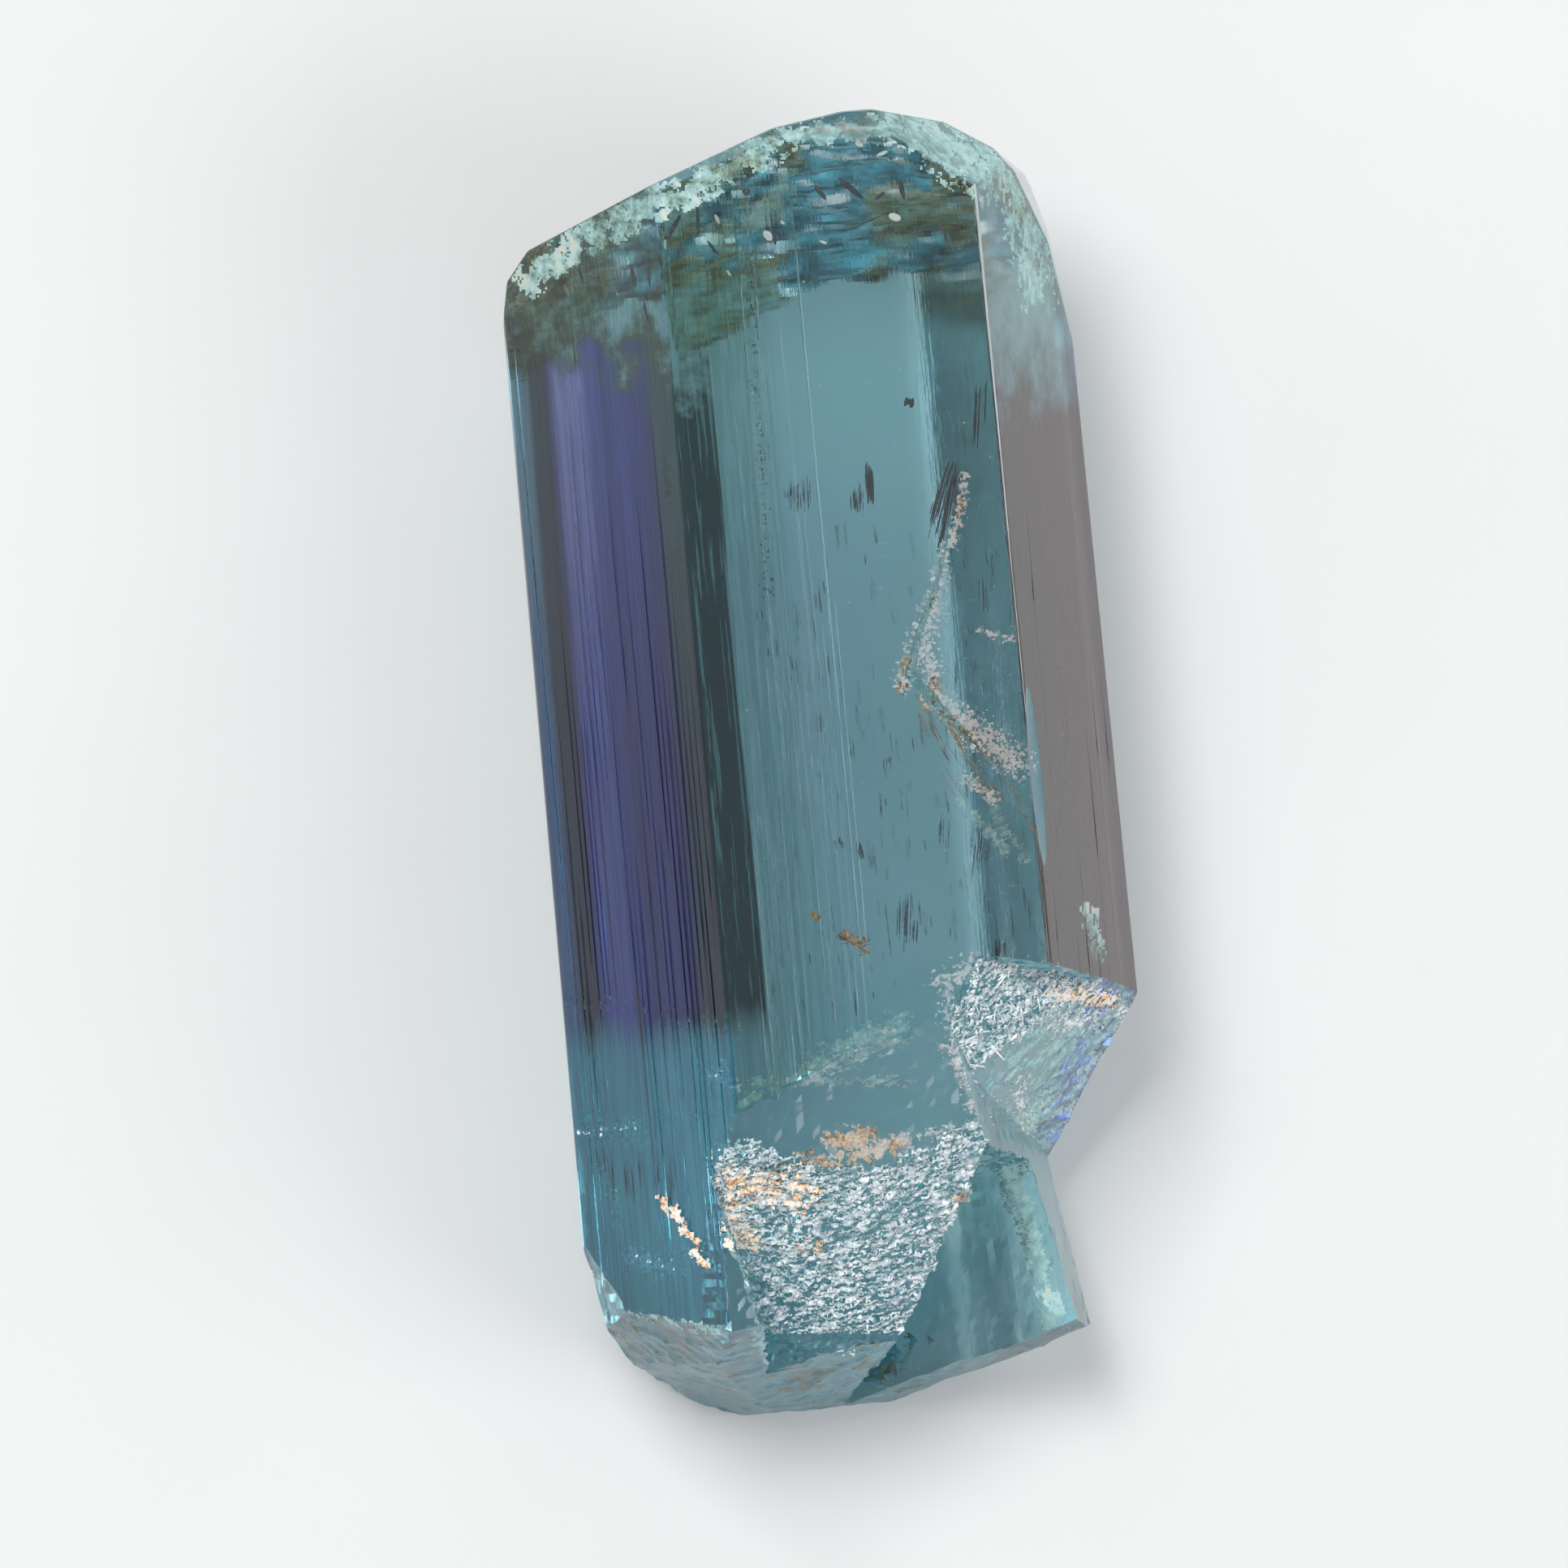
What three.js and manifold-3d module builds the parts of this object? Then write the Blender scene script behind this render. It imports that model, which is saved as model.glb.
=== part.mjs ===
// A gem aquamarine crystal, a six-sided prism of beryl broken off its matrix, lying on one prism face.
// Millimetres, +Z up. The long c axis runs along Y with the grown end at +Y, and the face that the
// crystal rests on is the bottom one, so the broad face opposite looks straight up.
import * as THREE from "three";
import { mergeVertices } from "three/addons/utils/BufferGeometryUtils.js";
import Module from "manifold-3d";

const wasm = await Module();
wasm.setup();

// Driving dimensions

const PRISM_TOP = 14.5; // the blank runs past both ends, and is cut back to them
const PRISM_BOTTOM = -14.5;
const WIDENING = 0.0011; // the prism gets this share wider in each millimetre towards its base
const BIG = 40; // the size of a block that cuts off everything beyond a flat face
const BREAK_SIZE = 24; // the same for a rough face, which is cut up finely
const BOW_REACH = 2.2; // how far from its middle a bowed break has bent back by all of its bow
const CRACK_OVERLAP = 0.08; // each stretch of the crack runs this far into the next ones

// The prism's faces in order round the axis. turn is the way a face looks, in degrees from +X
// towards +Z, and reach its distance from the axis. The narrow ones blunt the edges between the
// six broad ones.
const PRISM_FACES = [
  { name: "right edge", turn: 0, reach: 5.93 },
  { name: "upper right", turn: 30, reach: 5.3 },
  { name: "upper right edge", turn: 60, reach: 5.79 },
  { name: "top", turn: 90, reach: 4.8 },
  { name: "upper left edge", turn: 120, reach: 5.7 },
  { name: "upper left", turn: 150, reach: 5.2 },
  { name: "left edge", turn: 180, reach: 5.84 },
  { name: "lower left", turn: 210, reach: 5.0 },
  { name: "lower left edge", turn: 240, reach: 5.57 },
  { name: "bottom", turn: 270, reach: 4.8 },
  { name: "lower right edge", turn: 300, reach: 5.56 },
  { name: "lower right", turn: 330, reach: 5.0 },
];

// Growth lines along the prism, as shallow grooves. from and to are shares of a face's width,
// counted in the order of PRISM_FACES.
const GROOVES = {
  "upper right": { count: 3, from: 0.15, to: 0.85, width: 0.22, depth: 0.04 },
  top: { count: 6, from: 0.58, to: 0.97, width: 0.2, depth: 0.05 },
  "upper left": { count: 9, from: 0.05, to: 0.85, width: 0.22, depth: 0.06 },
  "lower left": { count: 4, from: 0.15, to: 0.85, width: 0.3, depth: 0.05 },
  "lower right": { count: 4, from: 0.15, to: 0.85, width: 0.3, depth: 0.05 },
};

// The faces of the grown end. at is a point on the face, and away the way it looks.
const END_FACES = [
  { name: "long left slope", at: [-3.37, 11.9, 4.5], away: [-0.338, 0.937, -0.087] },
  { name: "left of summit", at: [0.1, 13.0, 4.5], away: [-0.16, 0.983, -0.09] },
  { name: "summit", at: [0.96, 13.12, 4.5], away: [0.01, 0.996, -0.09] },
  { name: "right of summit", at: [1.75, 13.06, 4.5], away: [0.16, 0.983, -0.09] },
  { name: "right slope", at: [3.87, 12.3, 2.0], away: [0.53, 0.846, 0.06] },
  { name: "right shoulder", at: [4.62, 11.72, 2.0], away: [0.79, 0.58, 0.2] },
  { name: "upper chamfer", at: [5.15, 10.86, 1.2], away: [0.925, 0.29, 0.24] },
  { name: "lower chamfer", at: [5.72, 8.9, 0.5], away: [0.965, 0.14, 0.22] },
  { name: "left corner", at: [-5.4, 10.75, 0.95], away: [-0.73, 0.66, -0.18] },
  { name: "left chamfer", at: [-5.75, 9.7, 0.2], away: [-0.93, 0.22, -0.29] },
  { name: "left rim", at: [-3.37, 11.62, 4.8], away: [-0.27, 0.72, 0.64] },
  { name: "summit rim", at: [0.5, 12.45, 4.8], away: [0.03, 0.72, 0.69] },
  { name: "right rim", at: [1.93, 12.29, 4.8], away: [0.5, 0.7, 0.51] },
];

// The etched faces on the far side of the grown end, uneven where something dissolved them. Here
// and in the breaks, at and away are as above, rough is how far the face wanders, cell how finely
// it is cut up, bow how far its two sides bend back from its middle, and ledge the pitch and
// height of the ledges across it.
const ETCHED_FACES = [
  { name: "lower slope", at: [1.5, 12.7, 1.5], away: [0.12, 0.9, -0.42], rough: 0.16, cell: 0.7 },
  { name: "lower left slope", at: [-3, 11.7, 0.8], away: [-0.3, 0.8, -0.5], rough: 0.16, cell: 0.7 },
];

// The breaks. What each took away lies beyond all of its faces at once.
const STRIP_FACE = { at: [4.35, -8.46, -2.56], away: [0.927, 0.177, 0.331], rough: 0.05, cell: 0.8 };
const BREAKS = {
  "glittering slope": [
    { at: [-0.8, -9.75, 2.85], away: [0, -0.7, 0.71], rough: 0.09, cell: 0.4, bow: 0.4, ledge: [0.8, 0.12] },
    { at: [-3.5, -9.3, 3.4], away: [0.96, 0.27, 0.1], rough: 0.1, cell: 0.6 },
  ],
  "worn shelf": [
    { at: [-0.8, -6.02, 4.66], away: [0, -0.15, 0.99], rough: 0.05, cell: 0.6 },
    { at: [-1, -6.02, 4.8], away: [0.36, -0.93, 0.25], rough: 0.18, cell: 0.5 },
  ],
  "broken corner": [
    { at: [3.36, -4.49, 4.8], away: [0.583, -0.678, 0.445], rough: 0.12, cell: 0.5 },
    STRIP_FACE,
  ],
  "scoop beside the corner": [
    { at: [1.8, -4.19, 4.8], away: [0.572, -0.332, 0.751], rough: 0.16, cell: 0.35 },
    { at: [1.8, -4.19, 4.8], away: [-0.19, -0.98, 0.045], rough: 0.1, cell: 0.5 },
    STRIP_FACE,
  ],
  "notch in front of the leg": [
    { at: [1.44, -9.11, 3.35], away: [0.924, -0.383, 0], rough: 0.12, cell: 0.5 },
    { at: [2.4, -8.5, 0], away: [0.05, -1, 0.12], rough: 0.1, cell: 0.5 },
    { at: [3.13, -8.38, -0.48], away: [-0.516, -0.197, 0.833], rough: 0.12, cell: 0.5 },
  ],
  "heel bevel": [{ at: [-5.71, -10.06, 0.2], away: [-0.93, -0.32, 0.1], rough: 0.08, cell: 0.6 }],
  heel: [{ at: [-5.31, -10.95, 0.2], away: [-0.6, -0.777, 0.177], rough: 0.12, cell: 0.6 }],
  toe: [{ at: [-3, -12.62, -3], away: [-0.37, -0.925, 0.08], rough: 0.12, cell: 0.6 }],
  "broken end": [{ at: [-0.6, -11.8, 1], away: [0.1, -0.95, 0.28], rough: 0.16, cell: 0.5 }],
  sole: [{ at: [-0.6, -13.12, -3.5], away: [0, -0.99, 0.05], rough: 0.06, cell: 0.6 }],
  "foot of the leg": [{ at: [3.67, -12.35, -3.5], away: [0.25, -0.96, 0.08], rough: 0.08, cell: 0.6 }],
};

// The open crack across the broad face: points on its line, and how wide it is at each.
const CRACK_LINE = [
  { at: [2.3, 5.3], width: 0.05 },
  { at: [2.05, 4.2], width: 0.12 },
  { at: [1.75, 3.3], width: 0.2 },
  { at: [1.3, 2.4], width: 0.2 },
  { at: [1.05, 1.6], width: 0.34 },
  { at: [1.6, 0.9], width: 0.24 },
  { at: [2.15, 0.2], width: 0.16 },
  { at: [2.7, -0.5], width: 0.04 },
];

// A long flat chip on the edge between the top and the upper right face: its middle, the way it
// looks, counted as for the prism's faces, and half its size across, along and into the crystal.
const CHIP = { at: [3.74, -0.6, 4.68], turn: 38, reach: [0.55, 2.9, 0.35] };

// Solids from three.js geometry

function solidOf(geometry) {
  const bare = geometry.clone();
  bare.deleteAttribute("normal");
  bare.deleteAttribute("uv");
  const merged = mergeVertices(bare, 1e-4);
  return new wasm.Manifold(
    new wasm.Mesh({
      numProp: 3,
      vertProperties: new Float32Array(merged.attributes.position.array),
      triVerts: new Uint32Array(merged.index.array),
    }),
  );
}

function geometryOf(solid) {
  const mesh = solid.getMesh();
  const geometry = new THREE.BufferGeometry();
  geometry.setAttribute("position", new THREE.BufferAttribute(mesh.vertProperties, 3));
  geometry.setIndex(new THREE.BufferAttribute(mesh.triVerts, 1));
  return geometry;
}

// Smooth noise from -1 to 1, the same on every run.
function latticeValue(i, j, k) {
  const wave = Math.sin(i * 127.1 + j * 311.7 + k * 74.7) * 43758.5453;
  return 2 * (wave - Math.floor(wave)) - 1;
}

function noise(x, y, z) {
  const cell = [x, y, z].map(Math.floor);
  const ease = [x - cell[0], y - cell[1], z - cell[2]].map((t) => t * t * (3 - 2 * t));
  let sum = 0;
  for (let corner = 0; corner < 8; corner++) {
    const step = [corner & 1, (corner >> 1) & 1, (corner >> 2) & 1];
    const weight = step.reduce((w, s, axis) => w * (s ? ease[axis] : 1 - ease[axis]), 1);
    sum += weight * latticeValue(cell[0] + step[0], cell[1] + step[1], cell[2] + step[2]);
  }
  return sum;
}

// Moves every vertex of a geometry by three noises, broad waves with finer ones on them.
function roughen(geometry, amount, seed) {
  const BROAD = 0.45;
  const FINE = 1.7;
  const SHIFT = 31.7;
  const place = geometry.attributes.position;
  for (let i = 0; i < place.count; i++) {
    const p = [place.getX(i), place.getY(i), place.getZ(i)];
    const moved = p.map((value, axis) => {
      const off = SHIFT * (axis + 1) + seed;
      const broad = noise(p[0] * BROAD + off, p[1] * BROAD, p[2] * BROAD - off);
      const fine = noise(p[0] * FINE - off, p[1] * FINE + off, p[2] * FINE);
      return value + amount * (broad + 0.5 * fine);
    });
    place.setXYZ(i, ...moved);
  }
}

// The prism: one outline through the faces, with the growth lines cut in, drawn out along the axis

function corner(a, b) {
  const [ta, tb] = [a.turn, b.turn].map(THREE.MathUtils.degToRad);
  const det = Math.sin(tb - ta);
  return new THREE.Vector2(
    (a.reach * Math.sin(tb) - b.reach * Math.sin(ta)) / det,
    (b.reach * Math.cos(ta) - a.reach * Math.cos(tb)) / det,
  );
}

function prismOutline() {
  const outline = [];
  PRISM_FACES.forEach((face, i) => {
    const count = PRISM_FACES.length;
    const start = corner(PRISM_FACES[(i + count - 1) % count], face);
    const end = corner(face, PRISM_FACES[(i + 1) % count]);
    outline.push(start);
    const grooves = GROOVES[face.name];
    if (!grooves) return;
    const turn = THREE.MathUtils.degToRad(face.turn);
    const inward = new THREE.Vector2(-Math.cos(turn), -Math.sin(turn));
    const length = start.distanceTo(end);
    const pitch = (grooves.to - grooves.from) / grooves.count;
    for (let g = 0; g < grooves.count; g++) {
      const wander = 0.25 * noise(face.turn, 3.3 * g, 0.5);
      const middle = grooves.from + pitch * (g + 0.5 + wander);
      const half = grooves.width / length / 2;
      const sunk = grooves.depth * (0.7 + 0.3 * noise(face.turn, 7.7 * g, 2.5));
      outline.push(start.clone().lerp(end, middle - half));
      outline.push(start.clone().lerp(end, middle).addScaledVector(inward, sunk));
      outline.push(start.clone().lerp(end, middle + half));
    }
  });
  return new THREE.Shape(outline);
}

function prism() {
  const length = PRISM_TOP - PRISM_BOTTOM;
  const drawn = new THREE.ExtrudeGeometry(prismOutline(), { depth: length, bevelEnabled: false });
  drawn.rotateX(Math.PI / 2);
  drawn.translate(0, PRISM_TOP, 0);
  const place = drawn.attributes.position;
  for (let i = 0; i < place.count; i++) {
    place.setX(i, place.getX(i) * (1 - WIDENING * place.getY(i)));
  }
  return solidOf(drawn);
}

// What lies beyond a flat or rough face

// Turns a block's +Z to look along away, with its +Y as near to the crystal's axis as it can be.
function facing(away) {
  const out = new THREE.Vector3(...away).normalize();
  const STEEP = 0.9;
  const guide = Math.abs(out.y) > STEEP ? new THREE.Vector3(0, 0, 1) : new THREE.Vector3(0, 1, 0);
  const side = new THREE.Vector3().crossVectors(guide, out).normalize();
  const up = new THREE.Vector3().crossVectors(out, side);
  return new THREE.Matrix4().makeBasis(side, up, out);
}

function beyond({ at, away }) {
  const block = new THREE.BoxGeometry(BIG, BIG, BIG / 2);
  block.translate(0, 0, BIG / 4);
  block.applyMatrix4(facing(away));
  block.translate(...at);
  return solidOf(block);
}

function beyondRough({ at, away, rough, cell, bow = 0, ledge = [1, 0] }) {
  const count = Math.round(BREAK_SIZE / cell);
  const block = new THREE.BoxGeometry(BREAK_SIZE, BREAK_SIZE, BREAK_SIZE / 2, count, count, 1);
  block.translate(0, 0, BREAK_SIZE / 4);
  roughen(block, rough, at[0] + at[1]);
  const [pitch, height] = ledge;
  const place = block.attributes.position;
  for (let i = 0; i < place.count; i++) {
    const [x, y, z] = [place.getX(i), place.getY(i), place.getZ(i)];
    const sag = bow * Math.min(1, (x / BOW_REACH) ** 2);
    const along = y / pitch + 0.4 * noise(0.8 * x, 0.8 * y, 0);
    const tread = height * (along - Math.floor(along));
    place.setZ(i, z - sag - tread);
  }
  block.applyMatrix4(facing(away));
  block.translate(...at);
  return solidOf(block);
}

// The crack and the chip

// One stretch of the crack, a three-sided bar laid point down along its line.
function crackStretch(from, to, surface) {
  const [dx, dy] = [to.at[0] - from.at[0], to.at[1] - from.at[1]];
  const length = Math.hypot(dx, dy) + CRACK_OVERLAP;
  const bar = new THREE.CylinderGeometry(to.width, from.width, length, 3);
  bar.rotateY(Math.PI);
  bar.rotateZ(Math.atan2(dy, dx) - Math.PI / 2);
  bar.translate((from.at[0] + to.at[0]) / 2, (from.at[1] + to.at[1]) / 2, surface);
  return solidOf(bar);
}

function chip({ at, turn, reach }) {
  const shell = new THREE.IcosahedronGeometry(1, 5);
  shell.scale(...reach);
  shell.rotateY(THREE.MathUtils.degToRad(90 - turn));
  shell.translate(...at);
  return solidOf(shell);
}

// The crystal, cut from the prism as it grew and broke

function crystal() {
  let stone = prism();
  for (const face of END_FACES) {
    stone = stone.subtract(beyond(face));
  }
  for (const face of ETCHED_FACES) {
    stone = stone.subtract(beyondRough(face));
  }
  for (const faces of Object.values(BREAKS)) {
    const [first, ...rest] = faces.map(beyondRough);
    const taken = rest.reduce((piece, side) => piece.intersect(side), first);
    stone = stone.subtract(taken);
  }
  const broadFace = PRISM_FACES.find((face) => face.name === "top").reach;
  for (let i = 1; i < CRACK_LINE.length; i++) {
    stone = stone.subtract(crackStretch(CRACK_LINE[i - 1], CRACK_LINE[i], broadFace));
  }
  stone = stone.subtract(chip(CHIP));
  const largest = stone.decompose().sort((a, b) => b.volume() - a.volume())[0];
  return geometryOf(largest);
}

// It rests on its bottom face at z 0, with the middle of its box over the origin.
function restAtOrigin(geometry) {
  geometry.computeBoundingBox();
  const { min, max } = geometry.boundingBox;
  geometry.translate(-(min.x + max.x) / 2, -(min.y + max.y) / 2, -min.z);
  return geometry;
}

const aquamarine = new THREE.MeshStandardMaterial({
  color: 0x6fa9b4,
  roughness: 0.06,
  metalness: 0,
  transparent: true,
  opacity: 0.6,
});

const part = new THREE.Group();
const mesh = new THREE.Mesh(restAtOrigin(crystal()), aquamarine);
mesh.name = "aquamarine_crystal";
part.add(mesh);

export default part;
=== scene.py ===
# %% [markdown]
# # An aquamarine crystal
# Aquamarine is clear blue-green beryl. It grows as a long six-sided prism, and this crystal has the
# whole story of such a prism on it: fine growth lines along its faces, an etched grown end, and a
# base that broke off the rock. It lies on one of its faces, and the camera looks down on it.

# %% Load the frame
import math

import bpy
import numpy as np
from mathutils import Matrix, Vector


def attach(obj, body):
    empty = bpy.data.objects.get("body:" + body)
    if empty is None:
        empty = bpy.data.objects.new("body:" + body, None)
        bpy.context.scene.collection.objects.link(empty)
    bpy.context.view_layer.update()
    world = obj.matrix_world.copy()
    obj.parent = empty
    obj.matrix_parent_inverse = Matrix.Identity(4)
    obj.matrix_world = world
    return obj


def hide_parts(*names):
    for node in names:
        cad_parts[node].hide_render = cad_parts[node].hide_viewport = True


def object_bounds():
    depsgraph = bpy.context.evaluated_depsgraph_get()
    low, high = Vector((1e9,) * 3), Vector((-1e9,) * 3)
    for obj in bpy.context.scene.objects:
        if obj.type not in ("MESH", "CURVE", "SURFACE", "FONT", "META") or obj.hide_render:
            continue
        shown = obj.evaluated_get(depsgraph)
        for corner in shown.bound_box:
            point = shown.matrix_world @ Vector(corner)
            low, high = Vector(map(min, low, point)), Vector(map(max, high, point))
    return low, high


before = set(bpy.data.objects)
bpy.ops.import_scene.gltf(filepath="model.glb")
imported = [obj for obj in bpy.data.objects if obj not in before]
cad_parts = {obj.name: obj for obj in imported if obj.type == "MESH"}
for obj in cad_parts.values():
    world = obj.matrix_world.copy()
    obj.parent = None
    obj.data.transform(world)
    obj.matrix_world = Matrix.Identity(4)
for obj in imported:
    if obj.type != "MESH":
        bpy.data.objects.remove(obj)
cad_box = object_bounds()
CRYSTAL_NODE = "aquamarine_crystal"
bpy.ops.object.select_all(action="DESELECT")
print("CAD nodes:", sorted(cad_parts))

# %% [markdown]
# ## Units
# Blender's operators treat points closer than a tenth of a millimetre as one point if they work in
# metres, and this crystal has details finer than that. So every piece is modelled with one unit as
# one millimetre, round the crystal's own long axis, and is scaled to metres when it is finished.
# The axis lies along Y, half the crystal's thickness above the floor.

# %% From the crystal's axis to the frame
MM = 0.001
low, high = cad_box
AXIS_AT = Vector((-0.0317, 0.0444, (low.z + high.z) / 2 / MM))
print("axis at", [round(v, 3) for v in AXIS_AT], "mm")


def work_on(piece):
    """Selects one piece alone, as the one that operators act on."""
    bpy.ops.object.select_all(action="DESELECT")
    piece.select_set(True)
    bpy.context.view_layer.objects.active = piece


def settle(piece):
    """Scales a finished piece to metres, sets it down in the frame and says what it is."""
    work_on(piece)
    piece.location = AXIS_AT * MM
    piece.scale = (MM, MM, MM)
    bpy.ops.object.transform_apply(location=True, rotation=True, scale=True)
    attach(piece, "root")
    print(piece.name, "has", len(piece.data.polygons), "faces")


def apply_modifier(piece, kind, **settings):
    """Adds one modifier to a piece, sets it and applies it."""
    work_on(piece)
    modifier = piece.modifiers.new(kind.lower(), kind)
    for name, value in settings.items():
        setattr(modifier, name, value)
    bpy.ops.object.modifier_apply(modifier=modifier.name)


# %% [markdown]
# ## The camera
# The photograph looks at the broad face from slightly left of square on, with the grown end up and
# leaning a little to the left. A long lens keeps the prism's sides parallel, as they are there.

# %% The camera
VIEW_SIDE = math.radians(10.4)
LEAN = math.radians(5.3)
SENSOR = 36
LENS = 1000
DISTANCE = 885.6
AIM = (-0.122, 0, 4.8)
AIM_RIGHT = -0.726
AIM_UP = -0.396

across = Vector((math.cos(VIEW_SIDE), 0, math.sin(VIEW_SIDE)))
along = Vector((0, 1, 0))
towards = Vector((-math.sin(VIEW_SIDE), 0, math.cos(VIEW_SIDE)))
right = math.cos(LEAN) * across - math.sin(LEAN) * along
up = math.sin(LEAN) * across + math.cos(LEAN) * along
aim = Vector(AIM) + AIM_RIGHT * right + AIM_UP * up

bpy.ops.object.camera_add()
camera = bpy.context.object
camera.data.lens = LENS
camera.data.sensor_width = SENSOR
camera.data.clip_start = 0.01
turned_to_view = Matrix((right, up, towards)).transposed().to_4x4()
camera.matrix_world = Matrix.Translation((aim + DISTANCE * towards) * MM) @ turned_to_view
bpy.context.scene.camera = camera
print("camera at", [round(v * 1000, 1) for v in camera.location], "mm")

# %% [markdown]
# ## Places in the photograph
# Stains, crumbs and needles are placed by where the photograph shows them. A pixel of it is a point
# on a plane through the camera's aim, and the point is then dropped onto the stone along the view.

# %% From a pixel to the stone
PHOTO_WIDTH = 1932
PIXEL = DISTANCE * SENSOR / LENS / PHOTO_WIDTH
HIGH_ABOVE = 12


def on_view_plane(px, py):
    """How far right of the aim and above it a pixel is, in millimetres."""
    return (px - PHOTO_WIDTH / 2) * PIXEL, (PHOTO_WIDTH / 2 - py) * PIXEL


def seen_at(points):
    """Where the view's plane shows these points, which are given from the crystal's axis."""
    from_aim = points - np.array(aim - AXIS_AT)
    return from_aim @ np.array((right, up)).T


print("one pixel is", round(PIXEL, 4), "mm")

# %% [markdown]
# ## Small helpers for node trees
# Both the materials and the rough breaks are node trees. One helper adds a node, sets what is a
# plain value and links what comes from another node, so that a tree reads from top to bottom. The
# others add the nodes that come up again and again: sums, noises, smooth steps and new groups.

# %% Helpers for node trees
def add_node(tree, kind, settings=None, **inputs):
    """Adds a node. An input is named by its socket, with _ for a space, or by i and its number."""
    made = tree.nodes.new(kind)
    for name, value in (settings or {}).items():
        setattr(made, name, value)
    for name, value in inputs.items():
        numbered = name[0] == "i" and name[1:].isdigit()
        socket = made.inputs[int(name[1:])] if numbered else made.inputs[name.replace("_", " ")]
        if isinstance(value, bpy.types.NodeSocket):
            tree.links.new(value, socket)
        else:
            socket.default_value = value
    return made


def maths(tree, operation, a, b=0.0):
    """One sum on numbers."""
    return add_node(tree, "ShaderNodeMath", {"operation": operation}, i0=a, i1=b).outputs[0]


def vectors(tree, operation, a, b, output=0):
    """One sum on vectors."""
    return add_node(tree, "ShaderNodeVectorMath", {"operation": operation}, i0=a, i1=b).outputs[output]


def scaled(tree, vector, factor):
    """A vector times a number that comes from another node."""
    return add_node(tree, "ShaderNodeVectorMath", {"operation": "SCALE"}, i0=vector, Scale=factor).outputs[0]


def noise_at(tree, place, scale, detail, roughness=0.5):
    """A noise between 0 and 1."""
    settings = {"Scale": scale, "Detail": detail, "Roughness": roughness}
    return add_node(tree, "ShaderNodeTexNoise", Vector=place, **settings).outputs["Fac"]


def spread(tree, value, start, end, low=0.0, high=1.0):
    """Rises evenly from low where value is start to high where it is end."""
    limits = {"From_Min": start, "From_Max": end, "To_Min": low, "To_Max": high}
    return add_node(tree, "ShaderNodeMapRange", Value=value, **limits).outputs[0]


def step_between(tree, value, start, end):
    """Rises smoothly from 0 where value is start to 1 where it is end."""
    settings = {"interpolation_type": "SMOOTHSTEP"}
    made = add_node(tree, "ShaderNodeMapRange", settings, Value=value, From_Min=start, From_Max=end)
    return made.outputs[0]


def geometry_group(name, numbers):
    """A Geometry Nodes group that takes a mesh and these numbers: the tree, its inputs, its result."""
    tree = bpy.data.node_groups.new(name, "GeometryNodeTree")
    tree.interface.new_socket("Geometry", in_out="INPUT", socket_type="NodeSocketGeometry")
    for number in numbers:
        tree.interface.new_socket(number, in_out="INPUT", socket_type="NodeSocketFloat")
    tree.interface.new_socket("Geometry", in_out="OUTPUT", socket_type="NodeSocketGeometry")
    return tree, tree.nodes.new("NodeGroupInput").outputs, tree.nodes.new("NodeGroupOutput").inputs[0]


print("a node is added by", add_node.__name__, "and a group by", geometry_group.__name__)

# %% [markdown]
# ## The prism
# Beryl is a six-sided prism. A cube is cut along each of the twelve faces: six broad ones, and six
# narrow ones that blunt the edges between them. Each face is given by the way it looks, in degrees
# round the axis, and by its distance from the axis. The faces lean out a little towards the base.

# %% Cut the prism from a cube
HALF_BLANK = 14.5
WIDENING = 0.0011
PRISM_FACES = {
    "right edge": (0, 5.93),
    "upper right": (30, 5.3),
    "upper right edge": (60, 5.79),
    "top": (90, 4.76),
    "upper left edge": (120, 5.7),
    "upper left": (150, 5.2),
    "left edge": (180, 5.84),
    "lower left": (210, 5.0),
    "lower left edge": (240, 5.57),
    "bottom": (270, 4.8),
    "lower right edge": (300, 5.56),
    "lower right": (330, 5.0),
}
CLOSE = 1e-5


def cut_off(at, away):
    """Cuts off all that lies beyond a plane, in edit mode, and closes the cut with a new face."""
    bpy.ops.mesh.select_all(action="SELECT")
    bpy.ops.mesh.bisect(plane_co=at, plane_no=away, use_fill=True, clear_outer=True, threshold=CLOSE)


def face_normal(turn):
    """The way a prism face looks, square to the axis."""
    angle = math.radians(turn)
    return Vector((math.cos(angle), 0, math.sin(angle)))


bpy.ops.mesh.primitive_cube_add(size=2, scale=(8, HALF_BLANK, 8))
crystal = bpy.context.object
crystal.name = "crystal"
bpy.ops.object.transform_apply(location=False, rotation=False, scale=True)
bpy.ops.object.mode_set(mode="EDIT")
for turn, reach in PRISM_FACES.values():
    normal = face_normal(turn)
    lean_out = Vector((0, WIDENING * reach * normal.x**2, 0))
    cut_off(reach * normal, normal + lean_out)
bpy.ops.object.mode_set(mode="OBJECT")
print("prism faces:", len(crystal.data.polygons) - 2)

# %% [markdown]
# ## The grown end
# The end of the crystal is a low roof of many faces instead of one flat one, because it grew and
# dissolved by turns. Each is one more flat cut. All edges are then bevelled by a few hundredths of
# a millimetre, because the light catches an edge only where it is round.

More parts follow.
